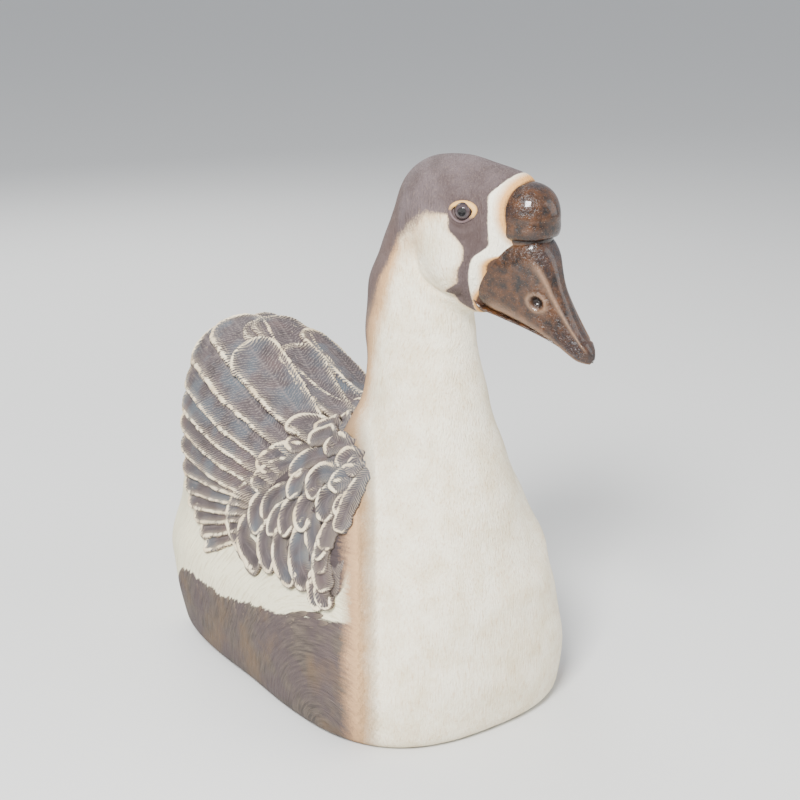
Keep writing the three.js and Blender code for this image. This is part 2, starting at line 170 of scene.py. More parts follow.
# %% The head and the whole form
def egg(x, y, z, at, size):
    """An ellipsoid in the head: ahead of the skull's middle, out from its middle plane, above it."""
    ahead = (SKULL_Y - y - at[0]) / size[0]
    out = (np.abs(x) - at[1]) / size[1]
    above = (z - SKULL_Z - at[2]) / size[2]
    return (np.sqrt(ahead**2 + out**2 + above**2) - 1.0) * min(size)


def head_field(x, y, z):
    """Skull, face, brow, jaw and the pair of full cheeks, joined softly."""
    skull = egg(x, y, z, (13, 0, 2), (44, 31, 40.5))
    brow = egg(x, y, z, (50, 0, 11), (28, 18.5, 24.5))
    face = egg(x, y, z, (40, 0, -8), (31, 23, 34))
    jaw = egg(x, y, z, (34, 0, -42), (24, 17, 17))
    cheek = egg(x, y, z, (24, 12, -22), (22, 19.5, 24))
    upper = blend_down(blend_down(skull, face, 18), brow, 10)
    return blend_down(blend_down(upper, jaw, 14), cheek, 8)


def goose_field(x, y, z):
    """The whole form, cut flat at the base with a small rounding."""
    trunk = blend_down(body_field(x, y, z), neck_field(x, y, z), NECK_JOIN)
    whole = blend_down(trunk, head_field(x, y, z), HEAD_JOIN)
    tuck = 5.0 * np.clip(1.0 - z / 9.0, 0.0, 1.0) ** 2
    return blend_up(whole + tuck, -z, 3.0)


print("field at the middle of the skull", round(float(goose_field(0.0, SKULL_Y, SKULL_Z)), 1), "mm")

# %% [markdown]
# A field has no points of its own. Marching cubes would find some, but would lose the direction of
# the tooling. Here each point is found along its own ray, at the last place inside the form, and the
# outward direction is the field's slope. The head is turned at the end, about the neck's own axis.

# %% Out to the surface
def slope_of(field, p):
    """Unit outward direction of a field at points p, by central differences."""
    step = 0.4
    parts = []
    for k in range(3):
        d = np.zeros(3)
        d[k] = step
        parts.append(field(*(p + d).T) - field(*(p - d).T))
    g = np.stack(parts, -1)
    return g / np.maximum(np.linalg.norm(g, axis=-1, keepdims=True), 1e-9)


def reach(field, start, heading, step=5.0, limit=420.0):
    """How far each ray goes before it leaves the form: march out, then halve the last step."""
    near = np.zeros(len(start))
    going = np.ones(len(start), bool)
    while going.any() and near.max() < limit:
        p = start[going] + heading[going] * (near[going] + step)[:, None]
        inside = field(*p.T) < 0
        idx = np.flatnonzero(going)
        near[idx[inside]] += step
        going[idx[~inside]] = False
    low, high = near, near + step
    for _ in range(16):
        middle = (low + high) / 2
        inside = field(*(start + heading * middle[:, None]).T) < 0
        low, high = np.where(inside, middle, low), np.where(inside, high, middle)
    return low


def turn_head(p, share=1.0):
    """Turn points about the neck's upright axis, by a share of the head's turn."""
    angle = HEAD_TURN * np.asarray(share, float)
    x, y = p[..., 0], p[..., 1] - NECK_AXIS_Y
    turned = np.array(p, float)
    turned[..., 0] = x * np.cos(angle) - y * np.sin(angle)
    turned[..., 1] = NECK_AXIS_Y + x * np.sin(angle) + y * np.cos(angle)
    return turned


top = reach(goose_field, np.array([[0.0, SKULL_Y, SKULL_Z]]), np.array([[0.0, 0.0, 1.0]]))
print("the crown is", round(SKULL_Z + float(top[0]), 1), "mm high")

# %% [markdown]
# ## Putting a grid into Blender
# Every clay piece here is a grid of points that closes on itself round each row, with a pole at
# each end. One helper makes the faces, so every piece is closed and its faces point outwards. The
# unwrap, OFBake, is the grid itself laid flat, which never overlaps.

# %% Faces and unwrap of a grid
UV_MARGIN = 0.02


def grid_faces(rows, columns, first=0):
    """Quads between rows of a closed ring grid, plus a fan at each end pole."""
    i, j = np.meshgrid(np.arange(rows - 1), np.arange(columns), indexing="ij")
    a = first + i * columns + j
    b = first + i * columns + (j + 1) % columns
    quads = np.stack([a, b, b + columns, a + columns], -1).reshape(-1, 4)
    k = np.arange(columns)
    start, end = first + rows * columns, first + rows * columns + 1
    last = first + (rows - 1) * columns
    head = np.stack([np.full(columns, start), first + (k + 1) % columns, first + k], -1)
    tail = np.stack([np.full(columns, end), last + k, last + (k + 1) % columns], -1)
    return quads, np.concatenate([head, tail])


def ring_uv(rows, columns, cell=(0.0, 0.0, 1.0, 1.0), margin=UV_MARGIN):
    """An unwrap of the ring grid: columns across the cell and rows up it, opened at column 0."""
    x0, y0, w, h = cell
    x0, y0, w, h = x0 + margin * w, y0 + margin * h, w * (1 - 2 * margin), h * (1 - 2 * margin)
    i, j = np.meshgrid(np.arange(rows - 1), np.arange(columns), indexing="ij")
    u = np.stack([j, j + 1, j + 1, j], -1).reshape(-1, 4) / columns
    v = (np.stack([i, i, i + 1, i + 1], -1).reshape(-1, 4) + 1.0) / (rows + 1)
    k = np.arange(columns)
    fan_u = np.concatenate([np.stack([k + 0.5, k + 1, k], -1), np.stack([k + 0.5, k, k + 1], -1)]) / columns
    fan_v = np.repeat([[0, 1, 1], [rows + 1, rows, rows]], columns, axis=0) / (rows + 1)
    return np.stack([x0 + w * u, y0 + h * v], -1), np.stack([x0 + w * fan_u, y0 + h * fan_v], -1)


print("3 rings of 4 points make", *map(len, grid_faces(3, 4)), "quads and triangles")


# %% Grid to mesh
def make_piece(name, points, quads, triangles, quad_uv, triangle_uv, values=None):
    """A mesh object in metres, with its OFBake unwrap and any point values the finish reads. Faces
    are turned if the solid they close would come out with a negative volume."""
    points = (np.asarray(points, float) - (0.0, MIDDLE_Y, 0.0)) * MM
    corner = points[np.concatenate([quads[:, :3], quads[:, [0, 2, 3]], triangles])]
    volume = np.einsum("ij,ij->", corner[:, 0], np.cross(corner[:, 1], corner[:, 2])) / 6
    if volume < 0:
        quads, quad_uv = quads[:, ::-1], quad_uv[:, ::-1]
        triangles, triangle_uv = triangles[:, ::-1], triangle_uv[:, ::-1]
    mesh = bpy.data.meshes.new(name)
    mesh.vertices.add(len(points))
    mesh.vertices.foreach_set("co", points.ravel())
    corners = np.concatenate([quads.ravel(), triangles.ravel()])
    mesh.loops.add(len(corners))
    mesh.loops.foreach_set("vertex_index", corners.astype(np.int32))
    sizes = np.concatenate([np.full(len(quads), 4), np.full(len(triangles), 3)])
    starts = np.concatenate([[0], np.cumsum(sizes)[:-1]])
    mesh.polygons.add(len(sizes))
    mesh.polygons.foreach_set("loop_start", starts.astype(np.int32))
    mesh.polygons.foreach_set("loop_total", sizes.astype(np.int32))
    mesh.polygons.foreach_set("use_smooth", np.ones(len(sizes), bool))
    layer = mesh.uv_layers.new(name="OFBake")
    layer.data.foreach_set("uv", np.concatenate([quad_uv.ravel(), triangle_uv.ravel()]))
    for key, value in (values or {}).items():
        value = np.asarray(value, float)
        kind = "FLOAT" if value.ndim == 1 else "FLOAT_VECTOR"
        store = mesh.attributes.new(key, kind, "POINT")
        store.data.foreach_set("value" if value.ndim == 1 else "vector", value.ravel())
    mesh.update()
    mesh.validate()
    piece = bpy.data.objects.new(name, mesh)
    bpy.context.scene.collection.objects.link(piece)
    print(name, len(points), "points,", 2 * len(quads) + len(triangles), "triangles,",
          round(abs(volume) * 1e6, 1), "cubic centimetres")
    return piece


def with_poles(value):
    """A ring grid's values, with one for each pole."""
    flat = value.reshape(-1, *value.shape[2:])
    return np.concatenate([flat, value[:1].mean(1), value[-1:].mean(1)])


def solid(name, grid, values=None):
    """A piece from one ring grid, with a point at each pole."""
    rows, columns = grid.shape[:2]
    values = {key: with_poles(v) for key, v in (values or {}).items()}
    return make_piece(name, with_poles(grid), *grid_faces(rows, columns), *ring_uv(rows, columns), values)


def dress(piece, finish, slot, *nodes):
    """Give a piece its finish and the body it rides on, and hide the nodes it stands for. slot is not used.
    """
    piece.data.materials.append(finish)
    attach(piece, "root")
    if nodes:
        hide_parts(*nodes)


print("2 rings of 3 points and their poles are", len(with_poles(np.zeros((2, 3, 3)))), "points")

# %% [markdown]
# ## Finishes
# A finish could be painted by hand on each piece. Here it is made in the shader, from distances and
# feather values stored on the mesh, roughened with noise in object coordinates, so it stays sharp at
# any size. A small class wraps a socket, so that the maths reads as maths.

# %% Shader maths
class Wire:
    """A number in a shader. Arithmetic on it adds Math nodes."""

    def __init__(self, shader, socket):
        self.shader, self.socket = shader, socket

    def math(self, kind, *others):
        return self.shader.node("ShaderNodeMath", {"operation": kind}, dict(enumerate((self,) + others)))

    def __add__(self, other):
        return self.math("ADD", other)

    def __sub__(self, other):
        return self.math("SUBTRACT", other)

    def __mul__(self, other):
        return self.math("MULTIPLY", other)

    def over(self, low, high):
        """0 below low and 1 above high, straight between."""
        values = {"Value": self, "From Min": low, "From Max": high}
        return self.shader.node("ShaderNodeMapRange", {"clamp": True}, values)


print("a wire has", ", ".join(name.strip("_") for name, value in vars(Wire).items() if callable(value)))


# %% Any node by name
class Shader:
    """A material's node tree, with one method for any node and short names for the common ones."""

    def __init__(self, name, **fixed):
        self.material = bpy.data.materials.new(name)
        self.material.use_nodes = True
        self.tree = self.material.node_tree
        self.principled = self.tree.nodes["Principled BSDF"]
        for key, value in fixed.items():
            self.principled.inputs[key.replace("_", " ")].default_value = value

    def node(self, kind, settings=None, values=None, out=0):
        """Any node: its settings, its inputs by name or number, and the output wanted."""
        node = self.tree.nodes.new(kind)
        for key, value in (settings or {}).items():
            setattr(node, key, value)
        for key, value in (values or {}).items():
            if isinstance(value, Wire):
                self.tree.links.new(value.socket, node.inputs[key])
            elif isinstance(value, tuple) and len(value) == 3 and node.inputs[key].type == "RGBA":
                node.inputs[key].default_value = (*value, 1)
            else:
                node.inputs[key].default_value = value
        return Wire(self, node.outputs[out])

    def number(self, name):
        return self.node("ShaderNodeAttribute", {"attribute_name": name}, out="Fac")

    def vector(self, name):
        return self.node("ShaderNodeAttribute", {"attribute_name": name}, out="Vector")

    def place(self):
        return self.node("ShaderNodeTexCoord", out="Object")

    def noise(self, where, scale, detail=3.0, rough=0.55):
        values = {"Vector": where, "Scale": scale, "Detail": detail, "Roughness": rough}
        return self.node("ShaderNodeTexNoise", {}, values)

    def parts(self, where):
        """The x, y and z of a vector."""
        node = self.node("ShaderNodeSeparateXYZ", {}, {0: where}).socket.node
        return [Wire(self, socket) for socket in node.outputs]

    def stretch(self, where, by):
        return self.node("ShaderNodeVectorMath", {"operation": "MULTIPLY"}, {0: where, 1: by})

    def mix(self, share, a, b):
        return self.node("ShaderNodeMix", {"data_type": "RGBA"}, {0: share, 6: a, 7: b}, out=2)

    def bump(self, height, distance, strength=1.0, under=None):
        values = {"Height": height, "Distance": distance, "Strength": strength}
        if under is not None:
            values["Normal"] = under
        return self.node("ShaderNodeBump", {}, values)

    def set(self, key, wire):
        self.tree.links.new(wire.socket, self.principled.inputs[key])


def rgb(r, g, b):
    """A colour as seen, 0 to 255, as the linear light the shader works in."""
    c = np.array([r, g, b]) / 255.0
    return tuple(float(v) for v in np.where(c <= 0.04045, c / 12.92, ((c + 0.055) / 1.055) ** 2.4))


print("mid grey as linear light:", rgb(128, 128, 128)[0])

# %% [markdown]
# The body is dipped in cream slip, then tan and umber slips are brushed over and wiped back, so the
# hollows of the tooling stay dark. The finish does the same: comb noise, stretched along the strokes,
# chooses between two tones, and frays each painted edge.

# %% Slip colours
CREAM, CREAM_LOW = rgb(238, 230, 206), rgb(208, 200, 160)
TAN, UMBER, UMBER_LIGHT = rgb(190, 144, 92), rgb(58, 49, 44), rgb(94, 82, 71)
CROWN, CROWN_LIGHT, STRIPE = rgb(70, 60, 63), rgb(104, 93, 97), rgb(66, 50, 47)
ORANGE = rgb(208, 152, 84)


def umber_slip(s, at, comb, light_at):
    """Umber wiped back along the comb, with patches of plum and of ochre brown."""
    colour = s.mix(comb.over(0.35, light_at), UMBER, UMBER_LIGHT)
    colour = s.mix(s.noise(at, 45.0, 3.0).over(0.42, 0.6) * 0.6, colour, rgb(72, 58, 60))
    return s.mix(s.noise(at, 28.0, 3.0).over(0.5, 0.66) * 0.55, colour, rgb(100, 78, 54))


print("cream slip as linear light:", [round(v, 3) for v in CREAM])


# %% The slips on the body and head
def body_finish():
    """Cream slip, with the tan border, umber back and flanks, and the dark crown and stripe."""
    s = Shader("body_slip", Roughness=0.72)
    at = s.place()
    speckle = s.noise(at, 900.0, 2.0)
    patch = s.noise(at, 60.0, 4.0)
    comb = s.noise(s.vector("comb"), 1.0, 3.0)
    strokes = s.noise(s.vector("comb"), 0.5, 2.0)
    waver = (patch - 0.5) * 2.0 + (speckle - 0.5) * 1.6
    cream = s.mix(patch.over(0.4, 0.8) * 0.5, CREAM, CREAM_LOW)
    cream = s.mix(comb.over(0.56, 0.72) * 0.35, cream, TAN)
    # tan border, then umber
    tan = s.number("tan") + waver * 0.22 + (comb - 0.5) * 0.5
    umber = umber_slip(s, at, comb, 0.68)
    flank = s.number("flank") + (strokes - 0.5) * 9.0 + waver * 1.0
    side = s.mix(comb.over(0.5, 0.72) * 0.55, rgb(226, 219, 188), rgb(178, 158, 116))
    rear = s.mix(flank.over(-0.8, 0.8), side, umber)
    colour = s.mix(tan.over(-0.1, 0.6) * 0.9, cream, TAN)
    colour = s.mix(tan.over(0.5, 1.2) * 0.75, colour, rgb(138, 104, 78))
    rear = s.mix((s.number("under_wing") + waver).over(-1.0, 1.0), rear, rgb(60, 50, 50))
    colour = s.mix(tan.over(0.95, 1.35), colour, rear)
    neck_up = s.number("high")
    nape = s.mix(comb.over(0.4, 0.65), rgb(92, 76, 68), rgb(132, 110, 92))
    colour = s.mix(tan.over(0.8, 1.3) * neck_up.over(0.0, 0.3), colour, nape)
    # the head
    dark = s.number("dark_head") + waver * 0.9 + (comb - 0.5) * 1.5
    stripe = s.number("stripe") + waver * 1.0
    crown = s.mix(patch.over(0.4, 0.66), CROWN, CROWN_LIGHT)
    crown = s.mix(comb.over(0.5, 0.72) * 0.4, crown, rgb(146, 128, 118))
    crown = s.mix(tan.over(-1.2, 1.2) * 0.7, crown, rgb(82, 62, 52))
    crown = s.mix(stripe.over(-4.0, 5.0) * 0.85, crown, STRIPE)
    halo = dark.over(-4.0, 1.0) * 0.7 * s.number("band").over(0.0, -1.0) * tan.over(1.1, 0.6)
    colour = s.mix(halo, colour, TAN)
    colour = s.mix(dark.over(-0.8, 0.6), colour, crown)
    gap = s.number("bill_gap") + waver * 0.6
    band = s.mix(gap.over(6.5, 2.5), rgb(244, 236, 214), ORANGE)
    band = s.mix(gap.over(1.6, 0.4), band, rgb(70, 46, 30))
    colour = s.mix((s.number("band") + waver * 0.3).over(-0.3, 0.5), colour, band)
    s.set("Base Color", colour)
    coarse = s.bump(comb * s.number("comb_depth"), 0.0015, 1.0)
    grain = s.noise(at, 380.0, 3.0)
    s.set("Normal", s.bump(grain + speckle * 0.4, 0.0007, 0.7, coarse))
    return s.material


body_slip = body_finish()
print("body finish of", len(body_slip.node_tree.nodes), "nodes")

# %% [markdown]
# ## One skin over the whole form
# The skin could be a sculpted remesh, but a grid keeps the direction of the tooling strokes. Rings
# leave a bent spine: they fan open at the rump, stand upright along the body, swing round the notch
# behind the neck, lie flat up the neck, swing again over the skull, and close under the bill.

# %% The rings of the skin
# (y, z) of the rump's fan, of the notch behind the neck, and of the throat
REAR_ORIGIN = (262.0, 112.0)
BACK_PIVOT = (146.0, 238.0)
THROAT_PIVOT = (30.0, 262.0)
FACE_LEAN = -15.0
COLUMNS = 236
RUMP_RINGS, BACK_RINGS, NOTCH_RINGS, NECK_RINGS, HEAD_RINGS, BILL_RINGS = 74, 48, 118, 17, 132, 9
TURN_AT_NECK = 0.2915  # the share of the head's turn that the neck takes up


def spine():
    """Each ring's origin (y, z), the lean of its plane, its fan angle and its share of the head's turn."""
    rear_y, rear_z = REAR_ORIGIN
    fan = np.linspace(-89.0, -1.0, RUMP_RINGS)
    parts = [(0 * fan + rear_y, 0 * fan + rear_z, 0 * fan, fan, 0 * fan)]
    t = np.linspace(0, 1, BACK_RINGS)
    parts.append((rear_y + (BACK_PIVOT[0] - rear_y) * t, rear_z - 4 * t, 0 * t, 0 * t, 0 * t))
    lean = np.linspace(0, 90, NOTCH_RINGS)[1:]
    far = 130 - 58 * smooth(lean, 0, 90)
    a = np.radians(lean)
    parts.append((BACK_PIVOT[0] - far * np.sin(a), BACK_PIVOT[1] - far * np.cos(a), lean, 0 * a, 0 * a))
    t = np.linspace(0, 1, NECK_RINGS)[1:-1]
    parts.append((74 + 8 * t, 238 + 24 * t, 0 * t + 90, 0 * t, TURN_AT_NECK * t**1.7))
    t = np.linspace(0, 1, HEAD_RINGS)
    lean = 90 + (FACE_LEAN - 90) * t
    far = 52 + 13 * smooth(t, 0, 0.6)
    a = np.radians(lean)
    y, z = THROAT_PIVOT[0] + far * np.sin(a), THROAT_PIVOT[1] + far * np.cos(a)
    parts.append((y, z, lean, 0 * a, smooth(t, -0.25, 0.45)))
    fan = np.linspace(8, 88, BILL_RINGS)
    parts.append((0 * fan + y[-1], 0 * fan + z[-1], 0 * fan + FACE_LEAN, fan, 0 * fan + 1))
    return [np.concatenate(column) for column in zip(*parts)]


def make_skin_grid():
    """Cast every ring's rays on to the form; columns start on the back, so no seam faces forward."""
    y, z, lean, fan, turn = spine()
    lean, fan = np.radians(lean)[:, None], np.radians(fan)[:, None]
    round_ = around(COLUMNS)
    spread = np.cos(fan) * np.cos(round_)
    heading = np.stack([np.cos(fan) * np.sin(round_) + 0 * lean,
                        -np.sin(fan) * np.cos(lean) + spread * np.sin(lean),
                        np.sin(fan) * np.sin(lean) + spread * np.cos(lean)], -1)
    start = np.stack([0 * y, y, z], -1)[:, None] + 0 * heading
    far = reach(goose_field, start.reshape(-1, 3), heading.reshape(-1, 3))
    p = start.reshape(-1, 3) + heading.reshape(-1, 3) * far[:, None]
    return p.reshape(len(y), COLUMNS, 3), turn


skin_grid, skin_turn = make_skin_grid()
RINGS = len(skin_grid)
print("skin rings", RINGS, "columns", COLUMNS)

# %% [markdown]
# ## Markings as distances
# The slips could be painted as vertex colours, but an edge kept as a signed distance in millimetres
# stays crisp between points, and the finish can roughen it. Each marking below is such a distance.

# %% Where each slip ends
# (above, ahead) of the skull's middle
CROWN_EDGE = [(-60, -84), (-40, -62), (-31, -47), (-22, -27), (-14, -13), (2, 0), (14, 9), (28, 9),
              (60, 12)]
CHEEK_FRONT = [(-64, 16), (-50, 21), (-43, 23), (-34, 35), (-27, 36), (-18.5, 39.5), (-12, 40), (-6, 35.5),
               (0, 30), (9.4, 28), (20, 20)]
BAND_REAR = [(-56, 38), (-50, 39.2), (-39.6, 40.3), (-27, 42.4), (-18.5, 45), (-8, 55.5), (2.4, 55),
             (12.5, 54.5), (21.8, 53), (28, 57.5), (34, 63), (45, 74)]
BILL_REAR = [(-50, 42), (-46, 43.7), (-35, 51.4), (-22.7, 53.6), (-12, 63.4), (0, 64.4), (12, 65),
             (23, 69.3), (40, 80)]
# (y, z) on the body
FLANK_TOP = [(20, 88), (65, 85), (110, 74), (166, 62), (200, 56), (242, 57), (262, 52), (275, 40),
             (290, 20)]
FLANK_REAR = 274.0
WING_FOOT = [(52, 125), (58, 104), (66, 97), (112, 104), (168, 108), (226, 106), (242, 110),
             (255, 116), (269, 126), (279, 138), (288, 152), (298, 170), (308, 188), (315, 206),
             (319, 226), (324, 400)]
# (z, share of the neck's half depth) behind its middle
NAPE_TAN = [(150, 0.3), (200, 0.2), (250, 0.05), (300, -0.12), (330, -0.3)]
NAPE_BROWN = [(150, 1.1), (200, 0.85), (250, 0.62), (300, 0.35), (330, 0.1)]
# the tan border crosses the body where x + slant * y is this, and fades over this width
BORDER_SLANT, BORDER_AT = 0.71, 107.5
BORDER_BEFORE, BORDER_WIDE = 13.0, 24.0


def from_knob(p):
    """Millimetres from the knob's egg, about: its half width by how far out of the egg a point is."""
    ahead, above = SKULL_Y - p[..., 1], p[..., 2] - SKULL_Z
    parts = ((ahead - KNOB_AT[0]) / KNOB_SIZE[0], p[..., 0] / KNOB_SIZE[1],
             (above - KNOB_AT[2]) / KNOB_SIZE[2])
    return KNOB_SIZE[1] * (np.sqrt(sum(part**2 for part in parts)) - 1)


def markings(p):
    """Signed distances at untwisted points: positive is inside the marking."""
    x, y, z = np.abs(p[..., 0]), p[..., 1], p[..., 2]
    ahead, above = SKULL_Y - y, z - SKULL_Z
    band = ahead - along(BAND_REAR, above)
    front = smooth(ahead, 6, 30)
    crown = (above - along(CROWN_EDGE, ahead)) * (0.14 + 0.66 * front)
    jaw_end = above + 45 + 0.85 * (ahead - 24)
    stripe = np.minimum(np.minimum(ahead - along(CHEEK_FRONT, above), -band), jaw_end)
    deep = np.minimum(stripe, (22 - above) * 0.3)
    bill = along(BILL_REAR, above) - ahead + 50 * smooth(above, -18, -4)
    border = x + BORDER_SLANT * y - BORDER_AT
    back = (y - along(NECK_MIDDLE, z)) / along(NECK_HALF_DEPTH, z)
    tan, brown = along(NAPE_TAN, z), along(NAPE_BROWN, z)
    nape = (back - tan) / (brown - tan)
    low = (border + BORDER_BEFORE) / BORDER_WIDE
    up = smooth(z, 165, 235)
    flank = np.minimum(along(FLANK_TOP, y) - z, FLANK_REAR - y)
    nape_foot = nape * smooth(z, 168, 192) * (1 - smooth(x, 18, 34)) * (y > 110)
    return {
        "dark_head": np.clip(np.minimum(-band, np.maximum(crown, stripe)), -30, 30),
        "stripe": np.clip(deep, -30, 30),
        "band": np.clip(np.where(above > -58, band, -30), -30, 30),
        "bill_gap": np.clip(np.minimum(bill, from_knob(p) + 1.5), -30, 60),
        "tan": np.clip(np.maximum(low + (nape - low) * up, nape_foot), -3, 6),
        "flank": np.clip(flank, -30, 60),
        "under_wing": np.clip(np.minimum(z - along(WING_FOOT, y), (y - 56) * 0.5), -20, 20),
    }


print("markings:", ", ".join(markings(skin_grid[:1, :1])))

# %% [markdown]
# ## Building the skin
# Relief is added along the surface: the flank stands up behind a ragged edge, the eye sits in a
# socket, and the whole skin is slightly uneven, as hand-finished clay is. A displacement modifier
# could do it from a texture; a sum of small bumps in millimetres keeps each one where it belongs.

# %% Relief and stroke directions
TUCK_FROM, TUCK_SPAN = 92.0, 15.0
STROKES_ROUND_Y = 58.0  # the flank's strokes circle round this y, at the base


def waves(p, size, seed):
    """A smooth uneven field between about -1 and 1: a sum of sines in turned directions."""
    r = np.random.default_rng(seed)
    total = 0
    for _ in range(7):
        d = r.normal(size=3)
        d *= 2 * np.pi / (size * np.linalg.norm(d))
        total = total + np.sin(p @ d + r.uniform(0, 6.28))
    return total / 3.5


def tuck(p):
    """Draw the widest part of the flanks in: |x| above w becomes w + s tanh((|x| - w) / s)."""
    wide = np.abs(p[..., 0])
    drawn = TUCK_FROM + TUCK_SPAN * np.tanh((wide - TUCK_FROM) / TUCK_SPAN)
    across = np.sign(p[..., 0]) * np.where(wide > TUCK_FROM, drawn, wide)
    return np.concatenate([across[..., None], p[..., 1:]], -1)


def comb_coordinates(p):
    """Coordinates stretched along the tooling: strokes run back and down on the flanks and band,
    down the breast and neck, and back over the head."""
    x, y, z = p[..., 0], p[..., 1], p[..., 2]
    round_rear = y + (96 - np.abs(x)) * smooth(y, 268, 300)
    radius = np.hypot(round_rear - STROKES_ROUND_Y, z)
    turn = np.arctan2(z, round_rear - STROKES_ROUND_Y)
    side = np.stack([radius / 1.9, turn * radius / 16.0, 0 * x + 7.0], -1)
    neck = np.stack([x, y, z * 0.16], -1)
    share = smooth(np.abs(x) + BORDER_SLANT * y, 96.0, 112.0) * (1 - smooth(z, 175, 215))
    share = share[..., None]
    return neck * (1 - share) + side * share


print("strokes circle round y", STROKES_ROUND_Y)


# %% Skin
def skin_relief(p, marks, rear):
    """Millimetres that the skin stands out from the form, feature by feature."""
    ahead, above = SKULL_Y - p[..., 1], p[..., 2] - SKULL_Z
    on_base = smooth(p[..., 2], 2.0, 12.0)
    flank_step = 1.2 * smooth(marks["flank"], -1.5, 3.0) * rear * (p[..., 2] < 120)
    eye = np.hypot(ahead - EYE_AT[0], above - EYE_AT[2])
    socket = 0.5 * bell(eye, 13.5, 2.4) - bell(eye, 10.6, 1.4) - 1.5 * (1 - smooth(eye, 4, 8))
    brow = 0.9 * bell(above - EYE_AT[2], 9.5, 3.0) * bell(ahead, 36, 12)
    band = -0.7 * bell(marks["band"], -0.8, 1.2) * (above > -50)
    collar = 1.6 * bell(from_knob(p), 1.5, 4.0) * smooth(ahead, 40, 54) * smooth(above, -10, 6)
    cheek = np.hypot(ahead - 24, above + 22)
    crease = -2.0 * bell(cheek, 25, 2.2) * smooth(-above, 8, 24) * (ahead < 34)
    uneven = 0.5 * waves(p, 34.0, 3) * smooth(p[..., 2], 10, 40)
    face = (socket + brow) * (ahead > 20) * (above > -5)
    return (flank_step + uneven) * on_base + face + band + crease + collar


def make_skin():
    """The skin with its relief, its head turned, and the values its finish reads."""
    marks = markings(skin_grid)
    rear = smooth(marks["tan"], 0.7, 1.4)
    out = slope_of(goose_field, skin_grid.reshape(-1, 3)).reshape(skin_grid.shape)
    p = tuck(skin_grid + out * skin_relief(skin_grid, marks, rear)[..., None])
    values = dict(marks)
    values["comb"] = comb_coordinates(skin_grid)
    values["high"] = smooth(p[..., 2], 200, 240)
    values["comb_depth"] = 0.5 + 0.5 * rear * (1 - values["high"]) + 0.3 * smooth(p[..., 2], 60, 200)
    return solid("skin", turn_head(p, skin_turn[:, None]), values)


FLESH = ("breast", "trunk", "neck_lower", "neck_upper", "head", "rump", "flank_left", "flank_right")
dress(make_skin(), body_slip, "cream_slip", *FLESH)

# %% [markdown]
# ## The carrier of the feathers
# Feathers could be sculpted one by one. Here each wing has a chart, a along the body and b up round
# it, and a small table gives the point and the outward direction at every place on the chart. The
# wing tips stand a little free of the body, so their carrier is a slightly longer form.

# %% Charts for the wings and the tail
TIPS_FREE = 12.0
CHART_MIDDLE_Z = 108.0
RIDGE_B = 157.0
CHART_STEP = 2.5


def carrier_field(x, y, z):
    """The body and neck with a longer rear, without base or head."""
    return blend_down(body_field(x, y, z, TIPS_FREE), neck_field(x, y, z), NECK_JOIN)


class Chart:
    """A table of points and outward directions, read between its places by straight interpolation."""

    def __init__(self, first, second, start, heading, field):
        self.first, self.second = first, second
        a, b = np.meshgrid(first, second, indexing="ij")
        begin, way = start(a, b).reshape(-1, 3), heading(a, b).reshape(-1, 3)
        far = reach(field, begin, way)
        p = begin + way * far[:, None]
        self.table = np.concatenate([p, slope_of(field, p)], -1).reshape(*a.shape, 6)

    def at(self, a, b):
        """Points and unit outward directions at chart places (a, b)."""
        first, second = self.first, self.second
        i = np.clip((a - first[0]) / (first[1] - first[0]), 0, len(first) - 1.001)
        j = np.clip((b - second[0]) / (second[1] - second[0]), 0, len(second) - 1.001)
        i0, j0 = i.astype(int), j.astype(int)
        fi, fj = (i - i0)[..., None], (j - j0)[..., None]
        t = self.table
        value = ((t[i0, j0] * (1 - fj) + t[i0, j0 + 1] * fj) * (1 - fi)
                 + (t[i0 + 1, j0] * (1 - fj) + t[i0 + 1, j0 + 1] * fj) * fi)
        normal = value[..., 3:]
        return value[..., :3], normal / np.linalg.norm(normal, axis=-1, keepdims=True)


def wing_angle(b):
    """Turn from straight up towards the right side, in radians."""
    return (RIDGE_B - b) / 100.0


wing_chart = Chart(
    np.arange(36.0, 356.0, CHART_STEP), np.arange(-60.0, 186.0, CHART_STEP),
    lambda a, b: np.stack([0 * a, a, 0 * a + CHART_MIDDLE_Z], -1),
    lambda a, b: np.stack([-np.sin(wing_angle(b)), 0 * a, np.cos(wing_angle(b))], -1),
    carrier_field,
)
tail_chart = Chart(
    np.arange(-100.0, 102.0, CHART_STEP), np.arange(-30.0, 122.0, CHART_STEP),
    lambda a, b: np.stack([0 * a, 0 * a + REAR_ORIGIN[0], 0 * a + REAR_ORIGIN[1]], -1),
    lambda a, b: np.stack([np.sin(a / 95) * np.cos(b / 100), np.cos(a / 95) * np.cos(b / 100),
                           np.sin(b / 100)], -1),
    body_field,
)
print("wing chart of", wing_chart.table.shape[:2], "places, tail chart of", tail_chart.table.shape[:2])

# %% [markdown]
# ## One modelled feather
# A feather pressed from a mould has a dished middle, a shaft, barbs combed outwards and a raised,
# slightly ragged rim. It could be a flat card with a picture of a feather. Here it is a closed grid:
# rows from root to tip, each row once round the vane, so it is solid clay down into its seat.

# %% A ragged edge
def lumps(seed, size, s):
    """Smooth random numbers along s, about -1 to 1, one lump per size."""
    values = np.random.default_rng(seed).uniform(-1, 1, 400)
    t = np.asarray(s) / size
    i = np.floor(t).astype(int)
    f = t - i
    f = f * f * (3 - 2 * f)
    return values[i % 400] * (1 - f) + values[(i + 1) % 400] * f


print("lumps along an edge:", lumps(1, 2.2, np.arange(3.0)).round(2))


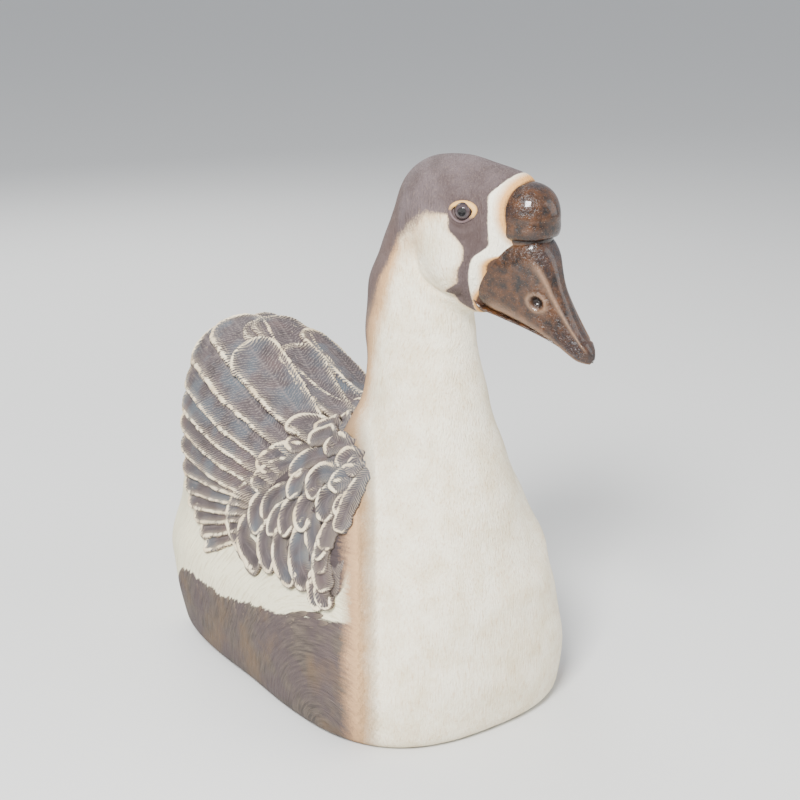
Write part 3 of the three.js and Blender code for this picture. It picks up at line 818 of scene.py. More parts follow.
# %% The vane
def vane(chart, root, tip, half, rows, across, base, rise, tilt=0.0, bow=0.0, via=None, thick=2.2,
         ridge=1.1, pitch=2.1, seed=0, blunt=1.0, narrow=0.62, slim=1.0, ragged=0.5, rim_at=1.7,
         rim_wide=1.3, dive=2.5, hidden=0, barb=1.0, rimmed=1.0):
    """A feather on a chart: points on rings round the vane, and the values its finish reads.

    The shaft is (1-s)^2 root + 2 s (1-s) via + s^2 tip. Half width grows from the root, then closes
    as (1 - u^2.3)^(1 / 2.1) over the last blunt half widths. Height, along the carrier's outward
    direction, is base + rise s^1.3 + tilt t, and on top ridge * rim + dish + barbs. hidden is the side
    (-1 or 1) that the next feather covers, so its rim is left off.
    """
    root, tip = np.array(root, float), np.array(tip, float)
    span = tip - root
    if via is None:
        via = root + span / 2 + np.array([-span[1], span[0]]) * bow * 2
    s = np.sin(np.linspace(0, np.pi / 2, rows)) * 0.35 + np.linspace(0, 1, rows) * 0.65
    s = s / s[-1] * 0.996
    r = s[:, None]
    shaft = (1 - r) ** 2 * root + 2 * r * (1 - r) * np.array(via, float) + r**2 * tip
    heading = np.gradient(shaft, axis=0)
    steps = np.hypot(heading[:, 0], heading[:, 1])
    left = np.stack([-heading[:, 1], heading[:, 0]], -1) / steps[:, None]
    run = np.concatenate([[0], np.cumsum((steps[1:] + steps[:-1]) / 2)])
    length = run[-1]
    closing = 1 - blunt * half / length
    part = run / length
    u = np.clip((part - closing) / (1 - closing), 0, 1) * 0.995
    width = half * (narrow + (1 - narrow) * smooth(part, 0, 0.55)) * (1 - u**2.3) ** (1 / 2.1)
    ring = around(across)[0]
    t = np.sign(np.cos(ring)) * np.abs(np.cos(ring)) ** 0.8
    top = np.sin(ring) >= -1e-9
    s2, t2 = np.broadcast_arrays(part[:, None], t[None])
    far = s2 * length
    edge = width[:, None] * np.where(t2 < 0, slim, 1.0)
    along_edge = far + 60 * (t2 > 0)
    notch = ragged * (lumps(seed, 2.2, along_edge) * 0.6 + lumps(seed + 5, 6.0, along_edge))
    out = t2 * (edge + notch * np.abs(t2) ** 6 * smooth(width[:, None], 1, 6))
    inside = np.minimum(edge * (1 - np.abs(t2)), (length * (1.0 - s2)) * 0.9 + 0.05)
    uneven = 0.72 + 0.42 * lumps(seed + 9, 3.3, far + 80 * (t2 > 0))
    rim = bell(inside, rim_at, rim_wide) * uneven
    rim = rim * smooth(s2, 0.02, 0.3) * rimmed
    if hidden:
        rim = rim * (1 - smooth(hidden * t2, -0.1, 0.5) * (1 - smooth(s2, 0.8, 0.97)))
    raised_shaft = 0.5 * bell(t2 * edge, 0, 1.1) * (1 - s2)
    dish = -0.55 * smooth(inside, 1.5, 0.75 * half) + raised_shaft
    phase = (far - 0.85 * np.abs(out)) / pitch
    barbs = 0.3 * barb * np.sin(2 * np.pi * phase) * smooth(inside, 0.2, 1.6)
    lift = base + rise * s2**1.3 + tilt * t2 - dive * (1 - smooth(s2, 0, 0.13))
    fall = 0.9 * (1 - np.sqrt(np.clip(1 - (1 - np.clip(inside, 0, 1)) ** 2, 0, 1)))
    height = lift + np.where(top[None], ridge * rim + dish + barbs - fall, -thick)
    place = shaft[:, None] + left[:, None] * out[..., None]
    p, n = chart.at(place[..., 0], place[..., 1])
    points = p + n * height[..., None]
    ends = np.array([points[0].mean(0), points[-1].mean(0)])
    values = {
        "vane": np.stack([out, far, inside], -1).reshape(-1, 3),
        "rim": (rim * np.where(top[None], 1, 0.6)).reshape(-1),
        "along_vane": s2.reshape(-1),
    }
    for key, value in values.items():
        values[key] = np.concatenate([value, value[:1], value[-1:]])
    values["phase"] = np.concatenate([phase.reshape(-1), phase[0, :1], phase[-1, :1]])
    values["tone"] = np.full(rows * across + 2, np.random.default_rng(seed + 77).uniform())
    values["barb"] = np.full(rows * across + 2, barb)
    return np.concatenate([points.reshape(-1, 3), ends]), values, (rows, across)


print("a small feather has", len(vane(wing_chart, (160, 40), (200, 20), 8, 20, 16, 1.0, 0.5)[0]), "points")


# %% Many feathers in one piece
def join_vanes(name, vanes, mirror=False, patches=None):
    """One piece from many feathers. Each has its own cell in the unwrap, so no colours mix, or a small
    patch of the skin's unwrap at its root."""
    sign = (-1, 1, 1) if mirror else (1, 1, 1)
    cells = math.ceil(math.sqrt(len(vanes)))
    made, values, first = [], {}, 0
    for k, (p, value, (rows, columns)) in enumerate(vanes):
        cell = ((k % cells) / cells, (k // cells) / cells, 1 / cells, 1 / cells)
        if patches is not None:
            cell = patches(p[0] * sign)
        made.append((p * sign, *grid_faces(rows, columns, first), *ring_uv(rows, columns, cell, 0.04)))
        for key, v in value.items():
            values.setdefault(key, []).append(v)
        first += len(p)
    # each grid's two poles come straight after its own rings
    values = {key: np.concatenate(v) for key, v in values.items()}
    return make_piece(name, *(np.concatenate(part) for part in zip(*made)), values)


print("the first of 4 cells ends at", ring_uv(3, 4, (0.0, 0.0, 0.5, 0.5), 0.04)[1].max().round(3))

# %% [markdown]
# The feathers are dipped in a grey-brown slip, which is wiped off the barbs with a sponge, and their
# rims are dry-brushed with cream. The rim, the barbs and the place across the vane come from the
# feather's own values, so the paint follows the relief.

# %% The slip on the feathers
def feather_finish():
    """Grey-brown slip wiped off the barbs, with cream dry-brushed on the rims."""
    s = Shader("feather_slip", Roughness=0.7)
    vane_at = s.vector("vane")
    across, _, inside = s.parts(vane_at)
    at = s.place()
    patch = s.noise(at, 70.0, 3.0)
    speckle = s.noise(at, 700.0, 2.0)
    wander = s.noise(s.stretch(vane_at, (0.25, 0.25, 0.0)), 1.0, 2.0)
    phase = s.number("phase") + (wander - 0.5) * 1.6
    barb = (phase * (2 * math.pi)).math("SINE") * 0.5 + 0.5
    fine = (phase * 19.0 + patch * 5.0).math("SINE") * 0.5 + 0.5
    tone = s.number("tone")
    body = s.mix(patch.over(0.35, 0.7), rgb(52, 43, 44), rgb(78, 67, 68))
    body = s.mix(s.noise(at, 42.0, 2.0).over(0.45, 0.65) * (tone * 0.6 + 0.3), body, rgb(74, 84, 92))
    body = s.mix(s.noise(at, 30.0, 3.0).over(0.55, 0.7) * 0.5, body, rgb(88, 66, 62))
    strength = s.number("barb")
    wiped = barb.over(0.5, 1.0) * speckle.over(0.3, 0.6) * strength * 0.45
    body = s.mix(wiped, body, rgb(150, 138, 130))
    brushed = inside.over(7.0, 1.0) * barb.over(0.25, 0.9) * (strength * 0.7 + 0.05)
    body = s.mix(brushed, body, rgb(196, 178, 148))
    shaft = across.math("ABSOLUTE").over(1.2, 0.3) * 0.3
    body = s.mix(shaft, body, rgb(118, 106, 102))
    rim = s.number("rim") + (speckle - 0.5) * 0.45 + (barb - 0.5) * 0.3 * (strength * 0.8 + 0.2)
    rim = rim * s.number("along_vane").over(0.02, 0.2)
    cream = s.mix(patch.over(0.4, 0.65), rgb(232, 216, 184), rgb(206, 184, 146))
    s.set("Base Color", s.mix(rim.over(0.34, 0.62), body, cream))
    s.set("Normal", s.bump(barb * 0.6 + fine * 0.25 + speckle * 0.3, 0.0005, 0.8))
    return s.material


feather_slip = feather_finish()
print("feather finish of", len(feather_slip.node_tree.nodes), "nodes")

# %% [markdown]
# ## The wings
# The long quills fan from under the coverts. Each overlaps the one below it, so its lower edge is
# lifted and its upper edge is tucked in. Three broad feathers lie on top, near the ridge of the back.

# %% Quills
# root (a, b), tip (a, b), half width, base height, tilt (positive lifts the upper edge), bow
QUILLS = [
    ((182, -4), (229, -27), 8.5, 1.0, -1.0, 0.02),
    ((184, 3), (242, -20), 9, 1.2, -1.1, 0.02),
    ((182, 13), (255, -11), 10, 1.4, -1.2, 0.02),
    ((178, 20), (268, -1), 11, 1.5, -1.3, 0.02),
    ((175, 28), (278, 12), 12, 1.6, -1.4, 0.02),
    ((170, 33), (287, 29), 13.5, 1.8, -1.5, 0.03),
    ((168, 36), (297, 53), 15, 1.9, -1.6, 0.0),
    ((165, 48), (307, 75), 15.5, 2.0, -1.7, -0.01),
    ((162, 59), (313, 93), 16, 2.2, -1.8, -0.01),
    ((160, 70), (317, 111), 16.5, 2.4, -1.8, -0.01),
    ((158, 88), (322, 130), 17, 2.6, -1.7, -0.01),
    ((150, 112), (307, 146), 18.5, 4.1, -0.7, -0.02),
    ((150, 146), (284, 163), 19.0, 4.6, 0.1, 0.0),
    ((146, 140), (244, 158), 18.0, 5.6, 0.2, 0.0),
    ((138, 104), (262, 132), 18.5, 6.4, 0.0, 0.02),
]
FAINT_RIMS = {12: 0.55, 13: 0.65}  # how strong the rims of the two topmost feathers are


def quills(side):
    """The long feathers of one wing. The right wing's top feathers lie over the left wing's."""
    vanes = []
    for k, (root, tip, half, base, tilt, bow) in enumerate(QUILLS):
        root, tip = np.array(root, float), np.array(tip, float)
        if side > 0:
            base -= 1.1 * (tip[1] > 120)
        length = np.hypot(*(tip - root))
        vanes.append(vane(wing_chart, root, tip, half, int(length * 0.72), 46, base, 0.6, tilt, bow,
                          thick=2.6, ridge=1.5, pitch=2.7, seed=100 * (side > 0) + 7 * k, blunt=0.95,
                          ragged=0.8, rim_at=2.1, rim_wide=1.6, hidden=1 if tilt < -0.9 else 0,
                          rimmed=FAINT_RIMS.get(k, 1.0)))
    return vanes


print(len(QUILLS), "quills on each wing")

# %% [markdown]
# The coverts overlap from the shoulder as roof tiles do. They could be set out by a rule, but hand
# modelled scales differ in size and bend, so each has its own root, bend and tip. Every scale is a
# little higher than the one before it, plain feathers back them, and the mantle closes the back.

# %% Places of the coverts
# root, bend and tip (a, b) of each shaft, and half width
COVERTS = [
    ((167, 60), (232, -9), (148, -13), 13), ((152, 80), (172, 60), (179, 38), 12),
    ((172, 24), (196, -17), (149, -16), 11), ((161, 47), (180, 18), (158, 8), 11),
    ((148, 95), (175, 78), (180, 54), 13), ((143, 27), (164, -9), (127, -6), 12),
    ((127, 36), (140, -5), (97, -6), 12), ((139, 58), (168, 36), (150, 21), 11),
    ((129, 47), (151, 28), (140, 10), 9), ((100, 45), (115, 8), (81, -6), 13),
    ((124, 53), (140, 27), (117, 24), 11), ((136, 118), (176, 117), (168, 96), 12),
    ((120, 104), (160, 104), (164, 82), 12), ((88, 90), (152, 94), (138, 64), 13),
    ((128, 76), (141, 57), (126, 52), 11), ((77, 16), (78, -10), (59, -17), 11),
    ((83, 30), (75, 7), (59, -5), 10), ((99, 50), (93, 26), (74, 20), 11),
    ((99, 65), (122, 39), (97, 36), 12), ((85, 82), (129, 74), (97, 62), 11),
    ((100, 100), (128, 110), (146, 96), 11), ((72, 57), (81, 37), (74, 24), 9),
    ((69, 80), (103, 58), (78, 51), 11), ((60, 75), (78, 58), (70, 56), 8),
    ((62, 92), (82, 84), (86, 69), 10), ((120, 112), (140, 122), (150, 108), 11),
    ((76, 54), (83, 30), (71, 6), 9), ((73, 2), (62, -16), (53, -8), 8),
    ((58, 94), (64, 66), (62, 42), 8), ((88, 100), (104, 102), (112, 92), 10),
    ((72, 96), (84, 98), (90, 86), 9), ((60, 99), (76, 96), (72, 84), 8),
]
# root, tip and half width
BACKING = [
    ((150, 60), (178, 20), 16), ((128, 50), (138, 2), 15), ((104, 50), (98, -6), 14),
    ((84, 50), (68, -12), 12), ((71, 60), (69, 8), 9), ((100, 90), (150, 78), 16),
    ((75, 88), (116, 62), 15), ((104, 112), (158, 108), 15), ((74, 100), (120, 96), 13),
    ((96, 70), (132, 40), 15),
]
# (b, least a) that keeps clear of the neck
NECK_FOOT = [(96, 50), (104, 75), (112, 95), (120, 110), (130, 122), (140, 132), (150, 140),
             (190, 144)]
MANTLE_ROWS, MANTLE_HALF = (178, 163, 149, 136), 9.8
print(len(COVERTS), "scales,", len(BACKING), "backing feathers and", 3 * len(MANTLE_ROWS), "in the mantle")


# %% Coverts
def off_the_neck(place, half):
    """A chart place moved back, if need be, so that a feather there keeps clear of the neck."""
    return np.array([max(place[0], float(along(NECK_FOOT, place[1] + 0.6 * half))), place[1]])


def backing():
    """Plain feathers under the scales, so that no body shows between them."""
    return [vane(wing_chart, off_the_neck(root, half), tip, half, 26, 28, 0.0, 0.6, 0.0, seed=7000 + k,
                 barb=0.4, rimmed=0.0) for k, (root, tip, half) in enumerate(BACKING)]


def scales(side):
    """The curved scales from the table, each a little above the one before it."""
    vanes = []
    for k, (root, via, tip, half) in enumerate(COVERTS):
        seed = 3000 * (side > 0) + 11 * k
        jitter = np.random.default_rng(seed).uniform(-1, 1, 4) * (0.6, 0.6, 0.03, 1.0)
        places = [np.array(place) + (7.0 * smooth(80 - place[0], 0, 24), 0) for place in (root, via, tip)]
        root, via, tip = (off_the_neck(place, half) for place in places)
        root, tip = root + jitter[:2], tip + jitter[1::2] * 0.8
        length = np.hypot(*(tip - root))
        over_quills = 4.2 * smooth(tip[1], 84, 98) * smooth(tip[0], 100, 130)
        vanes.append(vane(wing_chart, root, tip, half * (1 + jitter[2]), int(30 + length * 0.35), 44,
                          0.9 + 0.07 * k + over_quills, 1.2, 1.0, via=via, thick=2.4, ridge=1.7,
                          pitch=1.9, seed=seed, slim=0.6, ragged=0.9, rim_at=0.4 + 0.17 * half,
                          rim_wide=0.15 * half, hidden=-1, barb=0.4, dive=3.4))
    return vanes


def mantle(side):
    """Rows of small feathers across the back, each row over the one behind it."""
    vanes = []
    for row, a in enumerate(MANTLE_ROWS):
        for k in range(3):
            b = 160 - 15 * k - 7.5 * (row % 2)
            seed = 5000 * (side > 0) + 40 * row + 7 * k
            jitter = np.random.default_rng(seed).uniform(-1, 1, 3)
            tip = (a - 2.5 * k + 2 * jitter[0], b + 2 * jitter[1])
            root = off_the_neck((a - 34, b - 3 - 2 * k), MANTLE_HALF)
            tip = (max(tip[0], root[0] + 16), tip[1])
            vanes.append(vane(wing_chart, root, tip, MANTLE_HALF, 28, 34, 1.0 + 0.5 * row, 2.6, -0.4,
                              thick=2.0, ridge=1.2, pitch=1.7, seed=seed, blunt=1.05, barb=0.5))
    return vanes


def coverts(side):
    """All the short feathers of one wing."""
    return backing() + scales(side) + mantle(side)


print("a feather at (60, 140) moves back to a =", float(off_the_neck((60, 140), MANTLE_HALF)[0]))

# %% Both wings
for side, label in ((-1, "right"), (1, "left")):
    for kind, make in (("quills", quills), ("coverts", coverts)):
        piece = join_vanes(f"wing_{label}_{kind}", make(side), mirror=side > 0)
        dress(piece, feather_slip, "grey_slip", f"wing_{label}")

# %% [markdown]
# ## The flank tufts
# The brown flank is shaggy: short pointed locks lie over one another and its upper edge is ragged.
# They could be bumps alone, but the ones along the edge break the outline, so each is a thin vane.
# Each takes a small patch of the skin's own unwrap, at its root.

# %% Flank locks
LOCK_PATCH = 0.003


def flank_chart():
    """Places on the side of the body: a along it and b up it, on the right."""
    return Chart(
        np.arange(30.0, 306.0, 3.0), np.arange(1.0, 112.0, 3.0),
        lambda a, b: np.stack([0 * a, a, b], -1),
        lambda a, b: np.stack([0 * a - 1, 0 * a, 0 * a], -1),
        goose_field,
    )


def flank_locks():
    """Fine locks that lie along circles round the lower front corner; the last ones pass the upper
    edge."""
    chart = flank_chart()
    r = np.random.default_rng(41)
    vanes = []
    for radius in np.arange(16.0, 232.0, 4.2):
        turn = math.radians(8) + r.uniform(0, 10) / radius
        while turn < math.radians(100):
            long = r.uniform(13, 22)
            a, b = STROKES_ROUND_Y + radius * math.cos(turn), radius * math.sin(turn)
            middle = turn + 0.5 * long / radius
            way = np.array([-math.sin(middle), math.cos(middle)])
            turn += 0.62 * long / radius * r.uniform(0.85, 1.15)
            root = np.array([a + r.uniform(-1, 1), b])
            tip = root + way * long
            beyond = tip[1] - float(along(FLANK_TOP, tip[0]))
            if b < 5 or beyond > r.uniform(-2.0, 6.5) or max(a, tip[0]) > 284 or tip[0] < 60:
                continue
            proud = 0.5 * smooth(beyond, -14, -2)
            vanes.append(vane(chart, root, tip, r.uniform(1.4, 2.1) + 0.6 * proud, 10, 8,
                              0.35 + r.uniform(0, 0.3) + proud, 0.55, 0.0,
                              0.12 * long / radius, thick=1.3, ridge=0.0, pitch=1.6,
                              seed=int(r.integers(1e6)), blunt=4.0, narrow=0.5, ragged=0.0, dive=1.0))
    vanes = [(tuck(p), values, shape) for p, values, shape in vanes]
    print(len(vanes), "locks")
    return vanes


def skin_patch(point):
    """A small square of the skin's unwrap, at the place on the skin nearest to a point."""
    nearest = np.linalg.norm(skin_grid - point, axis=-1).argmin()
    ring, column = np.unravel_index(nearest, skin_grid.shape[:2])
    inner = 1 - 2 * UV_MARGIN
    u = UV_MARGIN + inner * (column + 0.5) / COLUMNS
    v = UV_MARGIN + inner * (ring + 1) / (RINGS + 1)
    return u - LOCK_PATCH / 2, v - LOCK_PATCH / 2, LOCK_PATCH, LOCK_PATCH


print("the breast's patch of the skin starts at", np.round(skin_patch(np.array([0.0, 0.0, 60.0]))[:2], 3))

# %% Both flanks
def lock_finish():
    """The flank's umber slip, wiped from the backs of the locks."""
    s = Shader("flank_slip", Roughness=0.75)
    at = s.place()
    comb = s.noise(s.stretch(s.vector("vane"), (1.6, 0.12, 0.0)), 1.0, 3.0)
    worn = s.number("along_vane").over(0.55, 1.0) * s.number("tone") * 0.5
    colour = s.mix(worn, umber_slip(s, at, comb, 0.66), rgb(128, 112, 92))
    s.set("Base Color", colour)
    s.set("Normal", s.bump(comb, 0.0006, 0.8))
    return s.material


flank_slip = lock_finish()
locks = flank_locks()
for side, label in ((-1, "right"), (1, "left")):
    piece = join_vanes(f"flank_{label}_locks", locks, mirror=side > 0, patches=skin_patch)
    dress(piece, flank_slip, "umber_slip")

# %% [markdown]
# ## The tail
# A broad fan of nine feathers comes out from under the wing tips and lies down over the rump. It
# could be one pressed plate, but separate vanes cast the thin shadows that part them.

# %% Tail feathers
def tail_feathers():
    """Nine feathers on the rear chart, roots up: the middle one lies on top."""
    vanes = []
    for layer, k in enumerate((-4, 4, -3, 3, -2, 2, -1, 1, 0)):
        root, tip = (k * 7.0, 108.0), (k * 17.0, -13.0 + 1.5 * k * k)
        vanes.append(vane(tail_chart, root, tip, 15.5, 84, 44, 1.5 + 0.16 * layer, 0.4, 0.3 * np.sign(k),
                          thick=3.0, ridge=1.3, pitch=3.4, seed=9000 + 13 * layer, blunt=0.8,
                          rim_at=2.4, rim_wide=1.8, barb=0.8))
    return vanes


dress(join_vanes("tail_feathers", tail_feathers()), feather_slip, "grey_slip", "tail")

# %% [markdown]
# ## The glazes
# The bill and knob are brushed with an iron glaze, which runs thin and breaks to copper on ridges
# and stays dark in hollows. A plain brown with gloss would look like plastic, so mottling, pits and
# a clear coat are mixed in.

# %% Glazes and lid slip
def glaze_finish():
    """A dark iron glaze that breaks to copper on ridges, with small pits and a bright surface."""
    s = Shader("brown_glaze", Roughness=0.34, Coat_Roughness=0.06, Specular_IOR_Level=0.3)
    at = s.place()
    mottle = s.noise(at, 160.0, 5.0, 0.65)
    big = s.noise(at, 38.0, 3.0)
    pits = s.node("ShaderNodeTexVoronoi", {}, {"Vector": at, "Scale": 620.0})
    colour = s.mix(mottle.over(0.36, 0.66), rgb(16, 9, 6), rgb(74, 44, 20))
    colour = s.mix(big.over(0.48, 0.66) * 0.75, colour, rgb(34, 24, 24))
    colour = s.mix(pits.over(0.25, 0.08) * 0.7, colour, rgb(110, 70, 36))
    colour = s.mix(s.number("ridge") * 0.6, colour, rgb(150, 118, 92))
    colour = s.mix(s.number("hollow").over(0.1, 0.7), colour, rgb(24, 14, 10))
    s.set("Base Color", colour)
    s.set("Coat Weight", pits.over(0.02, 0.3) * 0.55)
    height = mottle + s.noise(at, 420.0, 2.0) * 0.5 + pits.over(0.0, 0.3) * 0.4
    s.set("Normal", s.bump(height, 0.0016, 0.9))
    return s.material


def lid_finish():
    """Yellow-tan slip over the top and front of the lid, purple-grey below."""
    s = Shader("lid_slip", Roughness=0.6)
    rough = s.noise(s.place(), 500.0, 3.0)
    over = (s.number("over") + (rough - 0.5) * 0.5).over(0.35, 0.62)
    colour = s.mix(over, rgb(84, 66, 66), rgb(206, 160, 92))
    s.set("Base Color", colour)
    s.set("Normal", s.bump(rough, 0.0003, 0.6))
    return s.material


def eye_finish():
    """Grey-brown glaze on the ball, with a dark pupil."""
    s = Shader("eye_glaze", Roughness=0.12)
    looks = s.number("looks")
    colour = s.mix(looks.over(0.40, 0.56), rgb(12, 9, 10), rgb(66, 56, 58))
    colour = s.mix(looks.over(0.66, 0.95), colour, rgb(34, 26, 27))
    s.set("Base Color", colour)
    return s.material


brown_glaze, eye_glaze, lid_slip = glaze_finish(), eye_finish(), lid_finish()
print("glazes:", brown_glaze.name, eye_glaze.name, lid_slip.name)

# %% [markdown]
# ## The bill
# The bill hangs steeply from the face. Its section is a soft triangle with a flat top between two
# ridges; a nostril is pressed into each side and the tip carries a nail. It could be cut from a
# block, but one grid along its length takes all of that as relief.

# %% Places in the head and on the bill
BILL_PITCH = math.radians(37)
BILL_AHEAD, BILL_ABOVE = 62.0, -34.0
# (along the bill, up from its line or out from its middle)
BILL_TOP = [(-14, 25), (0, 36), (10, 34), (30, 21), (50, 11.5), (64, 6.5), (70, 4.5), (73, 2)]
BILL_EDGE = [(-14, -21), (-5, -24), (10, -19), (30, -11.5), (50, -6.5), (66, -4.5), (73, -2)]
BILL_HALF = [(-14, 20.5), (0, 19.3), (15, 16.5), (35, 13), (55, 10.5), (66, 8.5), (71, 5), (73, 2)]
NOSTRIL_AT = (24.0, 6.4)


def head_point(ahead, out, above):
    """A place in the head, turned with it."""
    return turn_head(np.stack([np.asarray(out) + 0 * ahead, SKULL_Y - ahead, SKULL_Z + above], -1))


def bill_point(far, side, up):
    """A place along the bill, out to its side, and up from its own line."""
    ahead = BILL_AHEAD + far * np.cos(BILL_PITCH) + up * np.sin(BILL_PITCH)
    above = BILL_ABOVE - far * np.sin(BILL_PITCH) + up * np.cos(BILL_PITCH)
    return head_point(ahead, side, above)


def normals_of(grid):
    """Unit normals of a closed ring grid of points, from its neighbours."""
    down = np.gradient(grid, axis=0)
    round_ = np.roll(grid, -1, 1) - np.roll(grid, 1, 1)
    n = np.cross(round_, down)
    n /= np.maximum(np.linalg.norm(n, axis=-1, keepdims=True), 1e-9)
    middle = grid.mean((0, 1))
    return n if ((grid - middle) * n).sum() > 0 else -n


print("the bill's tip is at", bill_point(np.array(73.0), 0.0, 0.0).round(1))


# %% Upper bill
def make_upper_bill():
    """The upper bill, with its ridges, nostrils and nail."""
    t = np.linspace(0, 1, 150)[:, None]
    far = -14 + 86.97 * np.sin(np.pi / 2 * t)
    angle = around(144)
    up, out = np.cos(angle), np.sin(angle)
    top, edge, half = (along(stops, far) for stops in (BILL_TOP, BILL_EDGE, BILL_HALF))
    taper = 1 - (0.1 + 0.3 * smooth(far, -4, 26)) * smooth(up, -0.9, 1)
    power = 0.38 + 0.17 * smooth(up, -0.5, 0.3)
    side = np.sign(out) * np.abs(out) ** power * half * taper
    high = edge + (top - edge) * (1 + np.sign(up) * np.abs(up) ** 0.75) / 2
    grid = bill_point(far + 0 * angle, side, high)
    # relief: along the flat top's two borders, round the nostrils, and at the lower margin
    share = (high - edge) / np.maximum(top - edge, 0.1)
    border = bell(np.abs(out), 0.84, 0.055) * (up > 0)
    border = border * smooth(far, 2, 16) * (1 - smooth(far, 60, 70))
    hollow = bell(np.abs(out), 0, 0.66, 6) * (up > 0) * smooth(far, 6, 20) * (1 - smooth(far, 52, 64))
    hole = np.hypot((far - NOSTRIL_AT[0]) / 1.3, high - NOSTRIL_AT[1])
    on_side = (np.abs(out) > 0.4) & (share > 0.3)
    hole_rim = bell(hole, 4.9, 1.2)
    nostril = on_side * (0.9 * hole_rim - 3.6 * bell(hole, 0, 2.9, 4))
    run = high - (6.0 - 0.42 * (far - 25))
    channel = -0.7 * bell(run, -2.5, 1) * smooth(far, 26, 29) * (1 - smooth(far, 46, 54))
    channel = channel * (np.abs(out) > 0.3)
    nail = 0.6 * smooth(far, 61, 63.5) * (1 - smooth(far, 67, 71)) * (up > 0.1)
    nail = nail - 0.5 * bell(far, 61.2, 0.9) * (up > 0.0)
    lip = 0.7 * bell(share, 0.1, 0.07) * smooth(far, -4, 6)
    relief = 1.3 * border - 0.9 * hollow + nostril + channel + nail + lip
    grid = grid + normals_of(grid) * relief[..., None]
    deep = on_side * bell(hole, 0, 3.0, 4)
    ridge = np.clip(border + 0.8 * hole_rim * on_side + lip, 0, 1)
    return solid("bill_upper_glazed", grid, {"hollow": deep, "ridge": ridge})


dress(make_upper_bill(), brown_glaze, "brown_glaze", "bill_upper")


# %% Lower bill
def make_lower_bill():
    """The thin lower bill under the upper one's edge."""
    far = -12 + 76 * np.sin(np.pi / 2 * np.linspace(0, 1, 70))[:, None]
    angle = around(64)
    edge = along(BILL_EDGE, far) + 2.2
    half = along(BILL_HALF, far) * (0.84 - 0.1 * smooth(far, 30, 66))
    thick = 4.4 * (1 - 0.45 * smooth(far, 20, 66))
    grid = bill_point(far + 0 * angle, np.sin(angle) * half, edge + thick * (0.6 * np.cos(angle) - 0.6))
    plain = 0 * far + 0 * angle
    return solid("bill_lower_glazed", grid, {"hollow": plain, "ridge": plain})


dress(make_lower_bill(), brown_glaze, "brown_glaze", "bill_lower")

# %% [markdown]
# ## The knob
# A ball of clay pressed on over the bill's root, with a bead where its foot was smoothed down. A
# plain ball would do from afar, but its flattened front and foot show at the camera's distance.

# %% Knob
def make_knob():
    """An egg a little flattened in front, drawn in above the bill, with a pale bead round its foot."""
    polar = np.linspace(0.02, np.pi - 0.02, 90)[:, None]
    turn = around(120)
    d = np.stack([np.sin(polar) * np.cos(turn), np.sin(polar) * np.sin(turn), np.cos(polar) + 0 * turn], -1)
    ahead, out, above = d[..., 0], d[..., 1], d[..., 2]
    full = 1 + 0.1 * smooth(-above, 0.1, 0.62) * (1 - smooth(-above, 0.8, 0.97))
    round_off = full * (1 - 0.03 * smooth(ahead, 0.5, 1))
    foot = bell(above, -0.8, 0.05)
    groove = bell(above, -0.67, 0.055)
    in_front = smooth(ahead, -0.6, 0.0)
    wave = 0.35 * np.sin(5.1 * out + 2) * np.sin(4.3 * above + 1)
    r = round_off + ((0.5 * foot - 1.1 * groove) * in_front + wave) / 19.0
    grid = head_point(KNOB_AT[0] + KNOB_SIZE[0] * ahead * r, KNOB_SIZE[1] * out * r,
                      KNOB_AT[2] + KNOB_SIZE[2] * above * r)
    return solid("knob_glazed", grid, {"hollow": groove * 0.7 * in_front, "ridge": foot * in_front})


dress(make_knob(), brown_glaze, "brown_glaze", "knob")

# %% [markdown]
# ## The eyes
# Each eye is a glazed ball with a pressed pupil, set in its bowl, with a rolled strip of clay laid
# round it as a lid. The lid could be part of the skin; as a strip of its own it keeps a sharp inner
# edge, and it takes its own tan slip.

# %% Eyes and lids
EYE_YAW = math.radians(22)


def lid_seat(ahead, above):
    """How far out the head's own surface is at a place seen from the side."""
    start = np.stack([0 * ahead, SKULL_Y - ahead, SKULL_Z + above], -1).reshape(-1, 3)
    way = np.tile([-1.0, 0.0, 0.0], (len(start), 1))
    return reach(goose_field, start, way, step=2.0).reshape(ahead.shape)


def ring_piece(name, grid, values):
    """A closed ring of clay: the rows join up end to end, so there are no poles."""
    rows, columns = grid.shape[:2]
    i, j = np.meshgrid(np.arange(rows), np.arange(columns), indexing="ij")
    a, b = i * columns + j, i * columns + (j + 1) % columns
    c, d = ((i + 1) % rows) * columns + (j + 1) % columns, ((i + 1) % rows) * columns + j
    u = np.stack([j, j + 1, j + 1, j], -1) / columns
    v = np.stack([i, i, i + 1, i + 1], -1) / rows
    uv = UV_MARGIN + (1 - 2 * UV_MARGIN) * np.stack([u, v], -1)
    return make_piece(name, grid.reshape(-1, 3), np.stack([a, b, c, d], -1).reshape(-1, 4),
                      np.zeros((0, 3), int), uv.reshape(-1, 4, 2), np.zeros((0, 3, 2)),
                      {key: value.reshape(-1) for key, value in values.items()})


